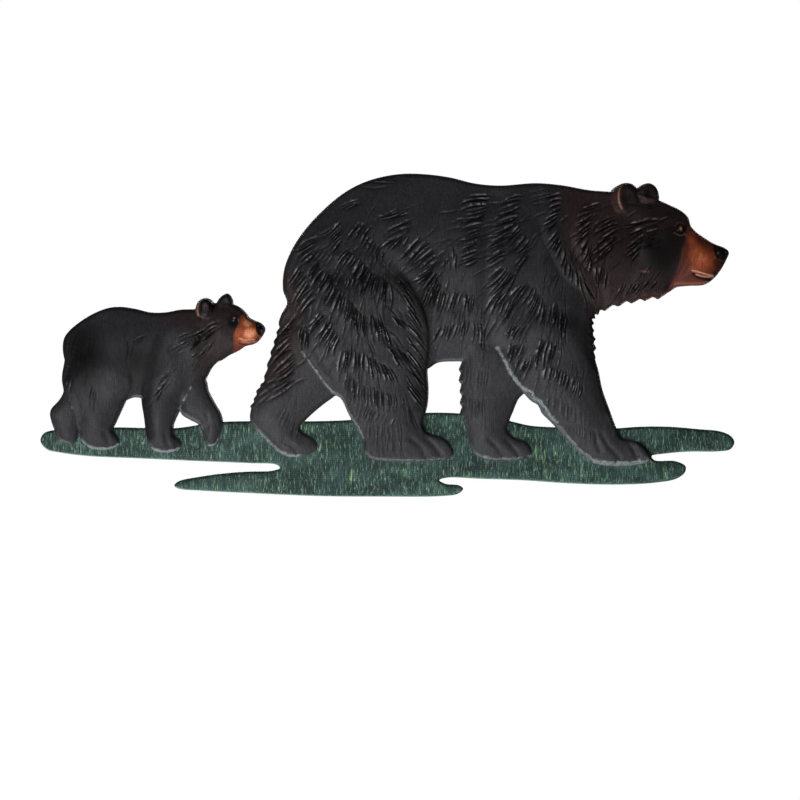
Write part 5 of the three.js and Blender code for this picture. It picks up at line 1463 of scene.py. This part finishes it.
class PrintColours(bpy.types.PropertyGroup):
    fur_dark: tone("Dark fur", "Darkest broad tone of the fur", (0.0101, 0.0101, 0.0112))
    fur_light: tone("Light fur", "Lightest broad tone of the fur", (0.0168, 0.0168, 0.0184))
    # Partly a greyer print of belly and legs, partly painted light from below
    fur_pale: tone("Pale fur", "Greyer tone of the belly and the legs", (0.0275, 0.0275, 0.0293))
    fur_warm: tone("Warm fur", "Brownish tone of neck and head", (0.0188, 0.0118, 0.0121))
    copper_deep: tone("Deep copper", "Darker tone of the muzzles", (0.075, 0.019, 0.013))
    # The deep tone is the muzzles' copper print; the middle and lightest tones are painted light and painted
    # highlight on it
    copper_mid: tone("Copper", "Middle tone of the muzzles", (0.19, 0.042, 0.015))
    copper_bright: tone("Bright copper", "Lightest tone of the muzzles", (0.52, 0.215, 0.115))
    # Painted highlight on steep faces of neck and head that look down and to the left
    warm_edge: tone("Warm edge", "Unprinted strips on the neck and head", (0.055, 0.026, 0.024))
    # Steel that the print misses, and painted highlights on faces turned to the light; the back paint's rubbed
    # spots use it too
    bare_steel: tone("Bare edge", "Unprinted strips beside the legs", (0.13, 0.145, 0.155))
    # Painted highlights along lips, eyelids and ear rims, and glints in the eyes
    rose: tone("Rose", "Light lines of mouth, eyes and ear rims", (0.42, 0.2, 0.135))
    # Black print of noses, eyes and mouths, and painted shade in hollows and on shaded sides
    ink_black: tone("Black", "Noses, eyes and mouths", (0.0015, 0.0012, 0.0015))
    grass_dark: tone("Dark grass", "Ground between the blades", (0.006, 0.0165, 0.014))
    grass_mid: tone("Middle grass", "Middle tone of the blades", (0.023, 0.05, 0.043))
    grass_light: tone("Light grass", "Light blades", (0.12, 0.215, 0.165))
    grass_tip: tone("Grass tips", "Yellow green blades", (0.2, 0.36, 0.17))
    # Painted highlight along the rolled edge
    grass_rim: tone("Grass rim", "Where the print stops short of the rolled edge", (0.22, 0.34, 0.31))
    paint_black: tone("Back paint", "Satin black on the back", (0.012, 0.012, 0.013))
    zinc: tone("Zinc", "Plated bracket", (0.62, 0.64, 0.66))
    zinc_dull: tone("Dull zinc", "Handled parts of the bracket", (0.42, 0.44, 0.46))


class StudioSettings(bpy.types.PropertyGroup):
    camera_gap: length("Camera distance", "From the sheet to the camera", 3.2)
    view_width: length("View width", "Width of the picture at the sheet", 0.7021)
    floor_drop: length("Floor drop", "From the bearing point down to the floor", 1.3)
    key_power: power("Key power", "Power of the large low light", 52.0)
    fill_power: power("Fill power", "Power of the glow from below", 6.0)
    back_power: power("Back power", "Power of the light behind", 30.0)
    floor_tone: tone("Floor", "Pale floor", (0.86, 0.86, 0.85))


class SCULPTURE_OT_pressed_sheet(bpy.types.Operator):
    """Builds the pressed and printed sheet in place of the plain panel"""

    bl_idname = "sculpture.pressed_sheet"
    bl_label = "Pressed sheet"

    def execute(self, context):
        corners, faces, slots, attributes = Sheet(context.scene.sheet_sizes).build()
        if len(faces) >= MOST_TRIANGLES:
            raise RuntimeError(f"the sheet has {len(faces)} triangles, which is too many")
        panel = mesh_object("pressed_bear_sheet", corners, faces, slots, attributes)
        for finish in (fur_print, grass_print, back_paint):
            panel.data.materials.append(finish(context.scene.print_colours))
        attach(panel, "root")
        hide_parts("bear_and_cub_panel")
        return {"FINISHED"}


class SCULPTURE_OT_hanging_bracket(bpy.types.Operator):
    """Plates the keyhole bracket with brushed zinc"""

    bl_idname = "sculpture.hanging_bracket"
    bl_label = "Hanging bracket"

    def execute(self, context):
        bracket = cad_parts["wall_hanger"]
        bracket.data.materials.clear()
        bracket.data.materials.append(zinc_plate(context.scene.print_colours))
        return {"FINISHED"}


def aimed(made, place, target):
    made.location = place
    made.rotation_euler = (Vector(target) - made.location).to_track_quat("-Z", "Y").to_euler()


def softbox(name, place, target, size, watts):
    light = bpy.data.lights.new(name, "AREA")
    light.shape = "RECTANGLE"
    light.size, light.size_y = size
    light.energy = watts
    made = linked(name, light)
    made.visible_camera = False
    aimed(made, place, target)


class SCULPTURE_OT_studio(bpy.types.Operator):
    """Sets up the pale floor, the soft lights and the camera"""

    bl_idname = "sculpture.studio"
    bl_label = "Studio"

    def execute(self, context):
        scene = context.scene
        studio = scene.studio_settings
        view = bpy.data.cameras.new("studio_camera")
        view.sensor_width = 36
        view.lens = view.sensor_width * studio.camera_gap / studio.view_width
        scene.camera = linked("studio_camera", view)
        aimed(scene.camera, VIEW_MIDDLE + Vector((0, -studio.camera_gap, 0)), VIEW_MIDDLE)
        mesh = bpy.data.meshes.new("studio_floor")
        floor = [(-1, -1), (1, -1), (1, 0.5), (-1, 0.5)]
        corners = [(x * FLOOR_HALF, y * FLOOR_HALF, -studio.floor_drop) for x, y in floor]
        mesh.from_pydata(corners, [], [(0, 1, 2, 3)])
        mesh.materials.append(floor_paint(studio.floor_tone))
        linked("studio_floor", mesh)
        softbox("key_light", (-0.85, -1.8, -0.75), VIEW_MIDDLE, (1.0, 0.8), studio.key_power)
        softbox("table_glow", (-0.1, -0.3, -1.15), VIEW_MIDDLE, (1.2, 0.3), studio.fill_power)
        softbox("back_light", (0.1, 2.2, 0), VIEW_MIDDLE, (1.4, 0.9), studio.back_power)
        scene.world = bpy.data.worlds.new("pale_studio")
        scene.world.use_nodes = True
        nodes = Nodes(scene.world.node_tree)
        ends = nodes.tree.nodes
        ends["Background"].inputs["Color"].default_value = WHITE
        around = nodes.shade("ShaderNodeBackground", {}, {"Color": WHITE, "Strength": 0.12})
        seen = nodes.shade("ShaderNodeLightPath", {}, {}, "Is Camera Ray")
        pair = {0: seen, 1: around, 2: Shade(nodes, ends["Background"].outputs[0])}
        nodes.feed(ends["World Output"].inputs["Surface"], nodes.shade("ShaderNodeMixShader", {}, pair))
        scene.view_settings.view_transform = "Standard"
        return {"FINISHED"}


class SCULPTURE_PT_panel(bpy.types.Panel):
    """Sizes, colours and steps of the sculpture"""

    bl_label = "Bear sculpture"
    bl_idname = "SCULPTURE_PT_panel"
    bl_space_type = "VIEW_3D"
    bl_region_type = "UI"
    bl_category = "Sculpture"

    def draw(self, context):
        for operator in OPERATORS:
            self.layout.operator(operator.bl_idname)
        for name, settings in SETTINGS.items():
            box = self.layout.box()
            for prop in settings.__annotations__:
                box.prop(getattr(context.scene, name), prop)


SETTINGS = {"sheet_sizes": SheetSizes, "print_colours": PrintColours, "studio_settings": StudioSettings}
OPERATORS = (SCULPTURE_OT_studio, SCULPTURE_OT_pressed_sheet, SCULPTURE_OT_hanging_bracket)
CLASSES = (*SETTINGS.values(), *OPERATORS, SCULPTURE_PT_panel)


def register():
    for item in CLASSES:
        bpy.utils.register_class(item)
    for name, settings in SETTINGS.items():
        setattr(bpy.types.Scene, name, bpy.props.PointerProperty(type=settings))


def unregister():
    for name in SETTINGS:
        delattr(bpy.types.Scene, name)
    for item in reversed(CLASSES):
        bpy.utils.unregister_class(item)


def main():
    register()
    bpy.ops.sculpture.studio()
    bpy.ops.sculpture.pressed_sheet()
    bpy.ops.sculpture.hanging_bracket()


if __name__ == "__main__":
    main()
